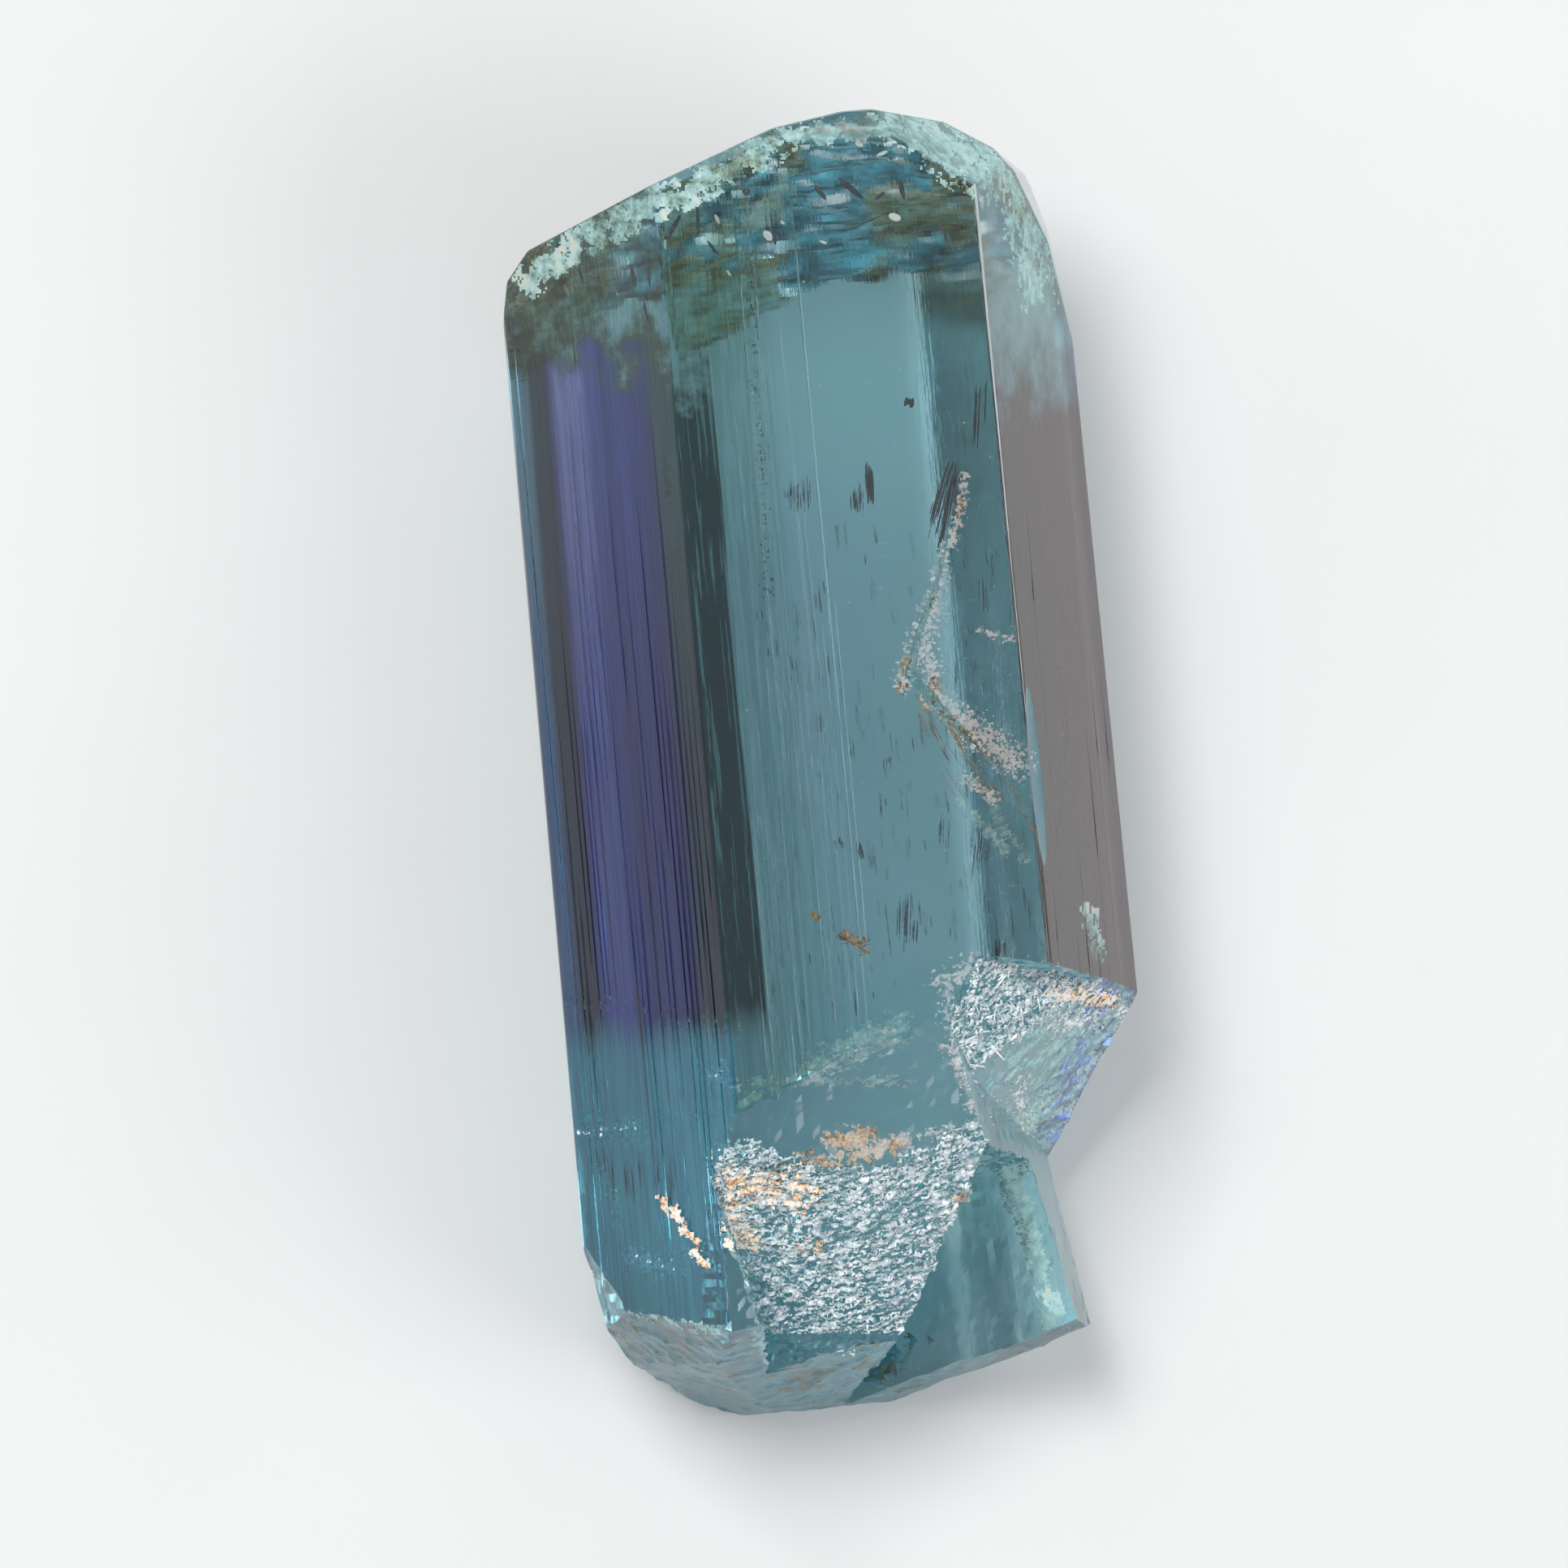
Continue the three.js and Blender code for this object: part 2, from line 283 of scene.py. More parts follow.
# %% Cut the faces of the grown end
END_FACES = [
    ((-3.37, 11.9, 4.5), (-0.338, 0.937, -0.087)),
    ((0.1, 13.0, 4.5), (-0.16, 0.983, -0.09)),
    ((0.96, 13.12, 4.5), (0.01, 0.996, -0.09)),
    ((1.75, 13.06, 4.5), (0.16, 0.983, -0.09)),
    ((3.87, 12.3, 2.0), (0.53, 0.846, 0.06)),
    ((4.62, 11.72, 2.0), (0.79, 0.58, 0.2)),
    ((5.15, 10.86, 1.2), (0.925, 0.29, 0.24)),
    ((5.72, 8.9, 0.5), (0.965, 0.14, 0.22)),
    ((-5.4, 10.75, 0.95), (-0.73, 0.66, -0.18)),
    ((-5.75, 9.7, 0.2), (-0.93, 0.22, -0.29)),
    ((-3.37, 11.62, 4.8), (-0.27, 0.72, 0.64)),
    ((0.5, 12.45, 4.8), (0.03, 0.72, 0.69)),
    ((1.93, 12.29, 4.8), (0.5, 0.7, 0.51)),
]
EDGE_ROUND = 0.05

work_on(crystal)
bpy.ops.object.mode_set(mode="EDIT")
for at, away in END_FACES:
    cut_off(at, away)
bpy.ops.mesh.select_all(action="SELECT")
bpy.ops.mesh.bevel(offset=EDGE_ROUND, segments=2, profile=0.5, affect="EDGES")
bpy.ops.object.mode_set(mode="OBJECT")
print("faces after the bevel:", len(crystal.data.polygons))

# %% [markdown]
# ## Growth lines
# The prism faces carry fine lines along the crystal, where one growth step ended on the next. Each
# line is a long shallow groove that fades out at both ends, so the cutter is a very long and thin
# ball. The cutters of one face stand side by side without touching, are joined, and are subtracted
# in one go.

# %% Cut the growth lines
def mark_faces(piece, kind):
    """Writes the kind of surface on every face of a piece."""
    marks = piece.data.attributes.new("surface", "FLOAT", "FACE")
    marks.data.foreach_set("value", [kind] * len(piece.data.polygons))


def combine(piece, other, operation):
    """Joins, intersects or subtracts another solid, which is then used up."""
    apply_modifier(piece, "BOOLEAN", operation=operation, object=other, solver="MANIFOLD")
    bpy.data.objects.remove(other)


def join(parts):
    """Joins several objects in the first of them."""
    bpy.ops.object.select_all(action="DESELECT")
    for part in parts:
        part.select_set(True)
    bpy.context.view_layer.objects.active = parts[0]
    bpy.ops.object.join()
    return parts[0]


def spindle(middle, half_size, turn):
    """A long thin ball along the crystal, its third half size square to the face at this turn."""
    bpy.ops.mesh.primitive_ico_sphere_add(subdivisions=2, radius=1, location=middle, scale=half_size)
    made = bpy.context.object
    made.rotation_euler = (0, math.radians(90 - turn), 0)
    bpy.ops.object.transform_apply(location=True, rotation=True, scale=True)
    return made


def face_point(face, sideways, y, sunk=0.0):
    """A point on a prism face, sideways from its middle in the way of rising turn, sunk below it."""
    turn, reach = PRISM_FACES[face]
    normal = face_normal(turn)
    sideways_way = Vector((-normal.z, 0, normal.x))
    point = (reach - sunk) * normal + sideways * sideways_way
    return Vector((point.x * (1 - WIDENING * y), y, point.z))


SMOOTH, ETCHED, BROKEN, GLITTER = 0.0, 1.0, 2.0, 3.0
GROWTH_LINES = {
    "upper left": {"from": -2.2, "to": 2.55, "pitch": 0.17, "width": 0.05, "depth": 0.03},
    "top": {"from": 0.35, "to": 2.7, "pitch": 0.15, "width": 0.045, "depth": 0.025},
    "upper right": {"from": -2.3, "to": 2.3, "pitch": 0.6, "width": 0.05, "depth": 0.006},
    "lower left": {"from": -2.2, "to": 2.2, "pitch": 0.6, "width": 0.06, "depth": 0.012},
    "lower right": {"from": -2.2, "to": 2.2, "pitch": 0.6, "width": 0.06, "depth": 0.012},
}
LINE_SHORTEST = 3.0
LINE_LONGEST = 12.0
mark_faces(crystal, SMOOTH)
chance = np.random.default_rng(11)
for face, line in GROWTH_LINES.items():
    cutters = []
    for sideways in np.arange(line["from"], line["to"], line["pitch"]).tolist():
        half = chance.uniform(LINE_SHORTEST, LINE_LONGEST)
        y = chance.uniform(-6, 6)
        width = line["width"] * chance.uniform(0.5, 1.2)
        depth = line["depth"] * chance.uniform(0.5, 1.5)
        middle = face_point(face, sideways + chance.uniform(-0.02, 0.02), y)
        cutters.append(spindle(middle, (width, half, depth), PRISM_FACES[face][0]))
    cutter = join(cutters)
    mark_faces(cutter, SMOOTH)
    combine(crystal, cutter, "DIFFERENCE")
print("faces with the growth lines:", len(crystal.data.polygons))

# %% [markdown]
# ## What a break does to a face
# A broken face is uneven in three ways. It wanders in broad waves, it is made of small tilted
# facets that glitter, and some breaks step down in ledges. A Geometry Nodes group moves the points
# of a flat grid by all three, and each break sets its own amounts.

# %% The node group for a broken face
def broken_face_group():
    """Moves a flat grid's points: broad waves, tilted grains, ledges and a bow."""
    amounts = ("Wave", "Wave Size", "Grain", "Grain Size", "Ledge Height", "Ledge Pitch", "Bow", "Seed")
    tree, given, result = geometry_group("broken face", amounts)
    place = tree.nodes.new("GeometryNodeInputPosition").outputs[0]
    seeded = vectors(tree, "ADD", place, given["Seed"])

    wave_scale = maths(tree, "DIVIDE", 1.0, given["Wave Size"])
    waves = add_node(tree, "ShaderNodeTexNoise", Vector=seeded, Scale=wave_scale, Detail=3.0)
    centred = vectors(tree, "SUBTRACT", waves.outputs["Color"], MIDDLE)
    wave_move = scaled(tree, centred, maths(tree, "MULTIPLY", given["Wave"], 2.0))

    grain_scale = maths(tree, "DIVIDE", 1.0, given["Grain Size"])
    grains = add_node(tree, "ShaderNodeTexVoronoi", Vector=seeded, Scale=grain_scale)
    offset = vectors(tree, "SUBTRACT", seeded, grains.outputs["Position"])
    tilt = vectors(tree, "SUBTRACT", grains.outputs["Color"], MIDDLE)
    slope = vectors(tree, "DOT_PRODUCT", offset, tilt, "Value")
    tilted = maths(tree, "MULTIPLY", slope, maths(tree, "MULTIPLY", grain_scale, 1.6))
    raised = maths(tree, "MULTIPLY", maths(tree, "SUBTRACT", grains.outputs["Distance"], 0.4), 0.8)
    grain_move = maths(tree, "MULTIPLY", maths(tree, "ADD", tilted, raised), given["Grain"])

    xyz = add_node(tree, "ShaderNodeSeparateXYZ", i0=place).outputs
    wander = maths(tree, "MULTIPLY", noise_at(tree, seeded, 0.9, 2.0), 2.2)
    rows = maths(tree, "ADD", maths(tree, "DIVIDE", xyz[1], given["Ledge Pitch"]), wander)
    ledge_move = maths(tree, "MULTIPLY", maths(tree, "FRACT", rows), given["Ledge Height"])
    side = maths(tree, "MINIMUM", maths(tree, "ABSOLUTE", maths(tree, "DIVIDE", xyz[0], BOW_REACH)), 1.0)
    bow_move = maths(tree, "MULTIPLY", maths(tree, "POWER", side, 2.0), given["Bow"])
    height = maths(tree, "SUBTRACT", maths(tree, "SUBTRACT", grain_move, ledge_move), bow_move)

    move = add_node(tree, "ShaderNodeCombineXYZ", Z=height).outputs[0]
    total = vectors(tree, "ADD", wave_move, move)
    moved = add_node(tree, "GeometryNodeSetPosition", Geometry=given["Geometry"], Offset=total)
    tree.links.new(moved.outputs[0], result)
    return tree


MIDDLE = (0.5, 0.5, 0.5)
BOW_REACH = 2.2
broken_face = broken_face_group()


def apply_nodes(piece, tree, **values):
    """Applies a Geometry Nodes group to a piece, with the group's inputs set by name."""
    work_on(piece)
    modifier = piece.modifiers.new(tree.name, "NODES")
    modifier.node_group = tree
    for item in tree.interface.items_tree:
        wanted = values.get(item.name.replace(" ", "_"))
        if item.in_out == "INPUT" and wanted is not None:
            modifier[item.identifier] = wanted
    bpy.ops.object.modifier_apply(modifier=modifier.name)


print("inputs of the group:", [item.name for item in broken_face.interface.items_tree])

# %% [markdown]
# ## Breaking pieces off
# What a break took away lies beyond all of its faces at once. Each face becomes a block with a
# rough underside: a grid, roughened by the group above and then extruded. The blocks of one break
# are intersected, and what is left is subtracted from the crystal. A number on every face remembers
# which kind of surface it is, because the material needs that later.

# %% Blocks with a rough underside
STEEP = 0.9


def facing(away):
    """Turns a block's +Z to look along away, with its +Y as near to the axis as it can be."""
    out = Vector(away).normalized()
    guide = Vector((0, 0, 1)) if abs(out.y) > STEEP else Vector((0, 1, 0))
    side = guide.cross(out).normalized()
    return Matrix((side, out.cross(side), out)).transposed().to_4x4()


def rough_block(at, away, kind, size, cell, **amounts):
    """A block whose underside is a broken face through at, and which fills all beyond it."""
    count = round(size / cell)
    bpy.ops.mesh.primitive_grid_add(x_subdivisions=count, y_subdivisions=count, size=size)
    block = bpy.context.object
    settings = {"Wave": 0.1, "Wave_Size": 2.0, "Grain": 0.0, "Grain_Size": 0.3}
    settings |= {"Ledge_Height": 0.0, "Ledge_Pitch": 1.0, "Bow": 0.0, "Seed": at[0] + 3 * at[1]}
    apply_nodes(block, broken_face, **(settings | amounts))
    bpy.ops.object.mode_set(mode="EDIT")
    bpy.ops.mesh.select_all(action="SELECT")
    bpy.ops.mesh.extrude_region_move(TRANSFORM_OT_translate={"value": (0, 0, size)})
    bpy.ops.mesh.select_all(action="SELECT")
    bpy.ops.mesh.normals_make_consistent(inside=False)
    bpy.ops.object.mode_set(mode="OBJECT")
    block.matrix_world = Matrix.Translation(at) @ facing(away)
    bpy.ops.object.transform_apply(location=True, rotation=True, scale=True)
    mark_faces(block, kind)
    return block


def break_off(faces):
    """Subtracts from the crystal what lies beyond all of these rough faces."""
    first, *others = [rough_block(**face) for face in faces]
    for other in others:
        combine(first, other, "INTERSECT")
    combine(crystal, first, "DIFFERENCE")


# %% [markdown]
# The etched faces lie on the far side of the grown end. The breaks at the base run from the corner
# at the right, round the notch in front of the leg, to the ragged end.

# %% Etch the grown end and break the base
ROUGH = {"size": 16, "cell": 0.16, "kind": BROKEN, "Wave": 0.1, "Grain": 0.12, "Grain_Size": 0.45}
ETCH = {"size": 18, "cell": 0.16, "kind": ETCHED, "Wave": 0.22, "Grain": 0.2, "Grain_Size": 0.9}
WORN = ROUGH | {"Grain": 0.05}
FINE = {"size": 9, "cell": 0.07, "kind": GLITTER, "Wave": 0.07, "Grain": 0.1, "Grain_Size": 0.2}
STRIP = ROUGH | {"kind": ETCHED, "Wave": 0.05, "Grain": 0.015}
STRIP |= {"at": (4.35, -8.46, -2.56), "away": (0.927, 0.177, 0.331)}
LEDGES = {"Bow": 0.4, "Ledge_Height": 0.1, "Ledge_Pitch": 0.3}
SHELF = ROUGH | {"kind": ETCHED, "Wave": 0.05, "Grain": 0.04}
NOTCH_SIDE = ROUGH | {"Wave": 0.06, "Grain": 0.03}
BREAKS = {
    "lower slope": [ETCH | {"at": (1.5, 12.7, 1.5), "away": (0.12, 0.9, -0.42)}],
    "lower left slope": [ETCH | {"at": (-3, 11.7, 0.8), "away": (-0.3, 0.8, -0.5)}],
    "glittering slope": [
        FINE | LEDGES | {"at": (-0.8, -9.75, 2.85), "away": (0, -0.7, 0.71)},
        ROUGH | {"at": (-3.5, -9.3, 3.4), "away": (0.96, 0.27, 0.1)},
    ],
    "worn shelf": [
        SHELF | {"at": (-0.8, -6.02, 4.66), "away": (0, -0.15, 0.99)},
        ROUGH | {"at": (-1, -6.02, 4.8), "away": (0.36, -0.93, 0.25), "Wave": 0.18},
    ],
    "broken corner": [
        SHELF | {"at": (3.36, -4.49, 4.8), "away": (0.583, -0.678, 0.445), "Wave": 0.1},
        STRIP,
    ],
    "scoop beside the corner": [
        FINE | {"at": (1.8, -4.19, 4.8), "away": (0.572, -0.332, 0.751), "Wave": 0.14},
        ROUGH | {"at": (1.8, -4.19, 4.8), "away": (-0.19, -0.98, 0.045)},
        STRIP,
    ],
    "notch in front of the leg": [
        ROUGH | {"at": (1.44, -9.11, 3.35), "away": (0.924, -0.383, 0)},
        ROUGH | {"at": (2.4, -8.5, 0), "away": (0.05, -1, 0.12)},
        NOTCH_SIDE | {"at": (3.13, -8.38, -0.48), "away": (-0.516, -0.197, 0.833)},
    ],
    "heel bevel": [WORN | {"at": (-5.66, -10.06, 0.2), "away": (-0.93, -0.32, 0.1)}],
    "heel": [WORN | {"at": (-5.31, -10.95, 0.2), "away": (-0.6, -0.777, 0.177)}],
    "toe": [WORN | {"at": (-3, -12.62, -3), "away": (-0.37, -0.925, 0.08)}],
    "broken end": [WORN | {"at": (-0.6, -11.8, 1), "away": (0.1, -0.95, 0.28), "Wave": 0.15}],
    "sole": [ROUGH | {"at": (-0.6, -13.06, -3.5), "away": (0, -0.99, 0.05), "Grain": 0.05}],
    "foot of the leg": [ROUGH | {"at": (3.67, -12.35, -3.5), "away": (0.25, -0.96, 0.08), "Grain": 0.05}],
}

for name, faces in BREAKS.items():
    break_off(faces)
    print("after the", name, "the crystal has", len(crystal.data.polygons), "faces")

# %% [markdown]
# ## The open crack
# A crack crosses the broad face in a zigzag. It is a row of three-sided bars laid point down, each
# running a little into the next, and they are subtracted one after the other.

# %% Cut the crack and the chip beside it
CRACK_LINE = [
    ((2.3, 5.3), 0.05),
    ((2.05, 4.2), 0.12),
    ((1.75, 3.3), 0.2),
    ((1.3, 2.4), 0.2),
    ((1.05, 1.6), 0.34),
    ((1.6, 0.9), 0.24),
    ((2.15, 0.2), 0.16),
    ((2.7, -0.5), 0.04),
]
CRACK_OVERLAP = 0.08
CRACK_SHARE = 0.55
CHIP_AT = (3.74, -0.6, 4.68)
CHIP_TURN = math.radians(52)
CHIP_REACH = (0.55, 2.9, 0.35)
TOP_HEIGHT = PRISM_FACES["top"][1]


def crack_stretch(start, start_width, end, end_width):
    """One stretch of the crack: a three-sided bar, point down, along its line."""
    line = Vector(end) - Vector(start)
    middle = (Vector(start) + Vector(end)) / 2
    size = {"radius1": start_width, "radius2": end_width, "depth": line.length + CRACK_OVERLAP}
    bpy.ops.mesh.primitive_cone_add(vertices=3, **size)
    bar = bpy.context.object
    lay_down = Matrix.Rotation(-math.pi / 2, 4, "X")
    point_down = Matrix.Rotation(math.pi, 4, "Y")
    aim_along = Matrix.Rotation(math.atan2(line.y, line.x) - math.pi / 2, 4, "Z")
    bar.matrix_world = Matrix.Translation((*middle, TOP_HEIGHT)) @ aim_along @ point_down @ lay_down
    bpy.ops.object.transform_apply(location=True, rotation=True, scale=True)
    mark_faces(bar, BROKEN)
    return bar


for (start, start_width), (end, end_width) in zip(CRACK_LINE, CRACK_LINE[1:]):
    stretch = crack_stretch(start, start_width * CRACK_SHARE, end, end_width * CRACK_SHARE)
    combine(crystal, stretch, "DIFFERENCE")

bpy.ops.mesh.primitive_ico_sphere_add(subdivisions=5, radius=1, location=CHIP_AT, scale=CHIP_REACH)
chip = bpy.context.object
chip.rotation_euler = (0, CHIP_TURN, 0)
bpy.ops.object.transform_apply(location=True, rotation=True, scale=True)
mark_faces(chip, ETCHED)
combine(crystal, chip, "DIFFERENCE")
print("faces with the crack and the chip:", len(crystal.data.polygons))

# %% [markdown]
# ## Films that lie on the stone
# Frost, rust and the olive crust are thin films with ragged edges. A film starts as a fine mesh that
# follows the stone. A Geometry Nodes group then deletes the faces where a noise is low, which leaves
# real holes, and raises what is left in grains and low hills. Solidify gives it its thickness.

# %% The node group for a ragged film
def ragged_film_group():
    """Roughens a film and deletes faces where a noise is under the film's bareness."""
    amounts = ("Bareness", "Patch Size", "Stretch", "Slant", "Hill", "Grain", "Grain Size", "Seed")
    tree, given, result = geometry_group("ragged film", amounts)
    place = tree.nodes.new("GeometryNodeInputPosition").outputs[0]
    seeded = vectors(tree, "ADD", place, given["Seed"])
    x, y, z = add_node(tree, "ShaderNodeSeparateXYZ", i0=seeded).outputs
    slanted = maths(tree, "ADD", y, maths(tree, "MULTIPLY", x, given["Slant"]))
    drawn_y = maths(tree, "MULTIPLY", slanted, given["Stretch"])
    drawn_z = maths(tree, "MULTIPLY", z, given["Stretch"])
    drawn = add_node(tree, "ShaderNodeCombineXYZ", X=x, Y=drawn_y, Z=drawn_z).outputs[0]
    patches = noise_at(tree, drawn, maths(tree, "DIVIDE", 1.0, given["Patch Size"]), 4.0, 0.65)
    as_float = {"data_type": "FLOAT"}
    cover = add_node(tree, "GeometryNodeInputNamedAttribute", as_float, Name="cover").outputs[0]
    above = maths(tree, "SUBTRACT", maths(tree, "ADD", patches, cover), given["Bareness"])
    chosen = {"Geometry": given["Geometry"], "Selection": maths(tree, "LESS_THAN", above, 0.0)}
    kept = add_node(tree, "GeometryNodeDeleteGeometry", {"domain": "FACE"}, **chosen).outputs[0]

    grain_scale = maths(tree, "DIVIDE", 1.0, given["Grain Size"])
    grains = add_node(tree, "ShaderNodeTexVoronoi", Vector=seeded, Scale=grain_scale)
    tone = add_node(tree, "ShaderNodeSeparateXYZ", i0=grains.outputs["Color"]).outputs[0]
    hill = maths(tree, "MULTIPLY", maths(tree, "MAXIMUM", above, 0.0), given["Hill"])
    lift = maths(tree, "ADD", maths(tree, "MULTIPLY", tone, given["Grain"]), hill)
    raised = scaled(tree, tree.nodes.new("GeometryNodeInputNormal").outputs[0], lift)
    moved = add_node(tree, "GeometryNodeSetPosition", Geometry=kept, Offset=raised)
    tree.links.new(moved.outputs[0], result)
    return tree


ragged_film = ragged_film_group()


def finish_film(piece, thickness, **amounts):
    """Makes a film ragged and gives it thickness."""
    settings = {"Bareness": 0.5, "Patch_Size": 0.3, "Stretch": 1.0, "Slant": 0.0, "Hill": 0.0}
    settings |= {"Grain": 0.02, "Grain_Size": 0.08, "Seed": 0.0}
    apply_nodes(piece, ragged_film, **(settings | amounts))
    apply_modifier(piece, "SOLIDIFY", thickness=thickness, offset=1.0, use_rim=True)
    print(piece.name, "has", len(piece.data.polygons), "faces")


# %% [markdown]
# A film that covers a whole break is copied from the break's own faces, so that it follows every
# grain of it.

# %% Copy faces into a film
def face_table(piece):
    """The middles of all faces of a piece, and their kinds of surface."""
    count = len(piece.data.polygons)
    middles = np.zeros(count * 3)
    kinds = np.zeros(count)
    piece.data.polygons.foreach_get("center", middles)
    piece.data.attributes["surface"].data.foreach_get("value", kinds)
    return middles.reshape(-1, 3), kinds


def keep_faces(piece, wanted):
    """Deletes all faces of a piece but the wanted ones."""
    work_on(piece)
    bpy.ops.object.mode_set(mode="EDIT")
    bpy.ops.mesh.select_mode(type="FACE")
    bpy.ops.mesh.select_all(action="DESELECT")
    bpy.ops.object.mode_set(mode="OBJECT")
    piece.data.polygons.foreach_set("select", ~wanted)
    bpy.ops.object.mode_set(mode="EDIT")
    bpy.ops.mesh.delete(type="FACE")
    bpy.ops.object.mode_set(mode="OBJECT")


def copy_faces(name, wanted):
    """A new piece of the crystal's wanted faces alone."""
    work_on(crystal)
    bpy.ops.object.duplicate()
    made = bpy.context.object
    made.name = name
    keep_faces(made, wanted)
    return made


def lift_film(piece, cuts, lift):
    """Cuts copied faces up finely and moves them off the stone, or into it where lift is negative."""
    work_on(piece)
    bpy.ops.object.mode_set(mode="EDIT")
    bpy.ops.mesh.select_all(action="SELECT")
    bpy.ops.mesh.quads_convert_to_tris()
    bpy.ops.mesh.subdivide(number_cuts=cuts)
    bpy.ops.mesh.select_all(action="SELECT")
    bpy.ops.transform.shrink_fatten(value=lift)
    bpy.ops.object.mode_set(mode="OBJECT")


middles, kinds = face_table(crystal)
seen = seen_at(middles)
shown_at = PHOTO_WIDTH / 2 + seen[:, 0] / PIXEL
shown_down = PHOTO_WIDTH / 2 - seen[:, 1] / PIXEL
print("glittering faces:", int((kinds == GLITTER).sum()), "broken:", int((kinds == BROKEN).sum()))

# %% [markdown]
# A smaller film starts as a flat grid that faces the camera. It is drawn with strokes, each from
# one pixel to another and so many pixels wide. Each point of the grid learns how far inside the
# nearest stroke it is, the rest of the grid is deleted, and Shrinkwrap drops what is left onto the
# stone along the view. Faces that hang between a high and a low part of the stone, or that missed
# it and hang high above, are deleted too.

# %% Drop a film onto the stone
COVER_SHARE = 0.2
LONGEST_EDGE = 3.0
BOX_TOP = 4.8


def plane_strokes(strokes):
    """The ends of strokes and their reaches, in millimetres on the view's plane."""
    ends = np.array([[on_view_plane(x1, y1), on_view_plane(x2, y2)] for x1, y1, x2, y2, _ in strokes])
    return ends, np.array([reach for *_, reach in strokes]) * PIXEL


def inside_strokes(points, strokes):
    """How far inside the nearest stroke points of the plane are: 1 on its line, 0 at its reach."""
    inside = np.full(len(points), -1.0)
    for (start, end), reach in zip(*plane_strokes(strokes)):
        line = end - start
        share = np.clip((points - start) @ line / max(line @ line, CLOSE), 0, 1)
        away = np.linalg.norm(points - start - share[:, None] * line, axis=1)
        inside = np.maximum(inside, 1 - away / reach)
    return inside


def write_cover(piece, cover):
    """Writes on every point how much more of a film it gets."""
    attribute = piece.data.attributes.new("cover", "FLOAT", "POINT")
    attribute.data.foreach_set("value", cover * COVER_SHARE)


def points_of(piece):
    """All points of a piece, one to a row."""
    points = np.zeros(len(piece.data.vertices) * 3)
    piece.data.vertices.foreach_get("co", points)
    return points.reshape(-1, 3)


def corners_of(piece):
    """The four points of each face of a grid, one face to a row."""
    corners = np.zeros(len(piece.data.loops), int)
    piece.data.loops.foreach_get("vertex_index", corners)
    return corners.reshape(-1, 4)


def strokes_grid(name, strokes, cell):
    """A grid over strokes of two pixels and a reach in pixels, with only the covered faces kept."""
    ends, reaches = plane_strokes(strokes)
    lowest = (ends.min(axis=1) - reaches[:, None]).min(axis=0)
    highest = (ends.max(axis=1) + reaches[:, None]).max(axis=0)
    size = highest - lowest
    count = np.ceil(size / cell).astype(int).tolist()
    bpy.ops.mesh.primitive_grid_add(x_subdivisions=count[0], y_subdivisions=count[1], size=1)
    made = bpy.context.object
    made.name = name
    made.scale = (*size.tolist(), 1)
    made.location = (*((lowest + highest) / 2).tolist(), 0)
    bpy.ops.object.transform_apply(location=True, rotation=True, scale=True)
    inside = inside_strokes(points_of(made)[:, :2], strokes)
    write_cover(made, inside)
    keep_faces(made, inside[corners_of(made)].min(axis=1) > 0)
    return made


def drop(piece, gap, cell, highest):
    """Drops a grid onto the stone along the view and deletes the faces that it stretches."""
    piece.matrix_world = Matrix.Translation(aim - AXIS_AT + HIGH_ABOVE * towards) @ turned_to_view
    settings = {"target": crystal, "wrap_method": "PROJECT", "use_project_z": True, "offset": gap}
    settings |= {"use_negative_direction": True, "use_positive_direction": False}
    apply_modifier(piece, "SHRINKWRAP", **settings)
    bpy.ops.object.transform_apply(location=True, rotation=True, scale=True)
    faces = points_of(piece)[corners_of(piece)]
    edges = np.linalg.norm(faces - np.roll(faces, 1, axis=1), axis=2)
    low_enough = faces[:, :, 2].max(axis=1) < highest
    keep_faces(piece, (edges.max(axis=1) < LONGEST_EDGE * cell) & low_enough)


def dropped_film(name, strokes, cell, gap, thickness, highest=BOX_TOP, **amounts):
    """A film on the stone over these strokes, where that is lower than the highest allowed point."""
    made = strokes_grid(name, strokes, cell)
    drop(made, gap, cell, highest)
    finish_film(made, thickness, **amounts)
    return made


# %% [markdown]
# ## Frost on the fresh breaks
# The newest breaks glitter like silver. They are covered with tiny steps and splinters, each a
# small mirror, in rows that run across the break. The film is drawn out along these rows, and the
# clear stone shows between them. Its silver is partly the frost's own white and partly painted
# glitter: light and dark grains painted into its colour as highlights and shade.

# %% Frost on the glittering breaks
FROST_END = 1640
FROST = {"Bareness": 0.5, "Patch_Size": 0.3, "Stretch": 3.6, "Slant": -0.2, "Hill": 0.35}
FROST_TOP = 4.68
frost_faces = (kinds == GLITTER) & (middles[:, 2] < FROST_TOP) & (shown_down < FROST_END)
frost = copy_faces("frost", frost_faces)
lift_film(frost, 1, 0.006)
finish_film(frost, 0.01, **FROST, Grain=0.04, Grain_Size=0.08, Seed=3.0)
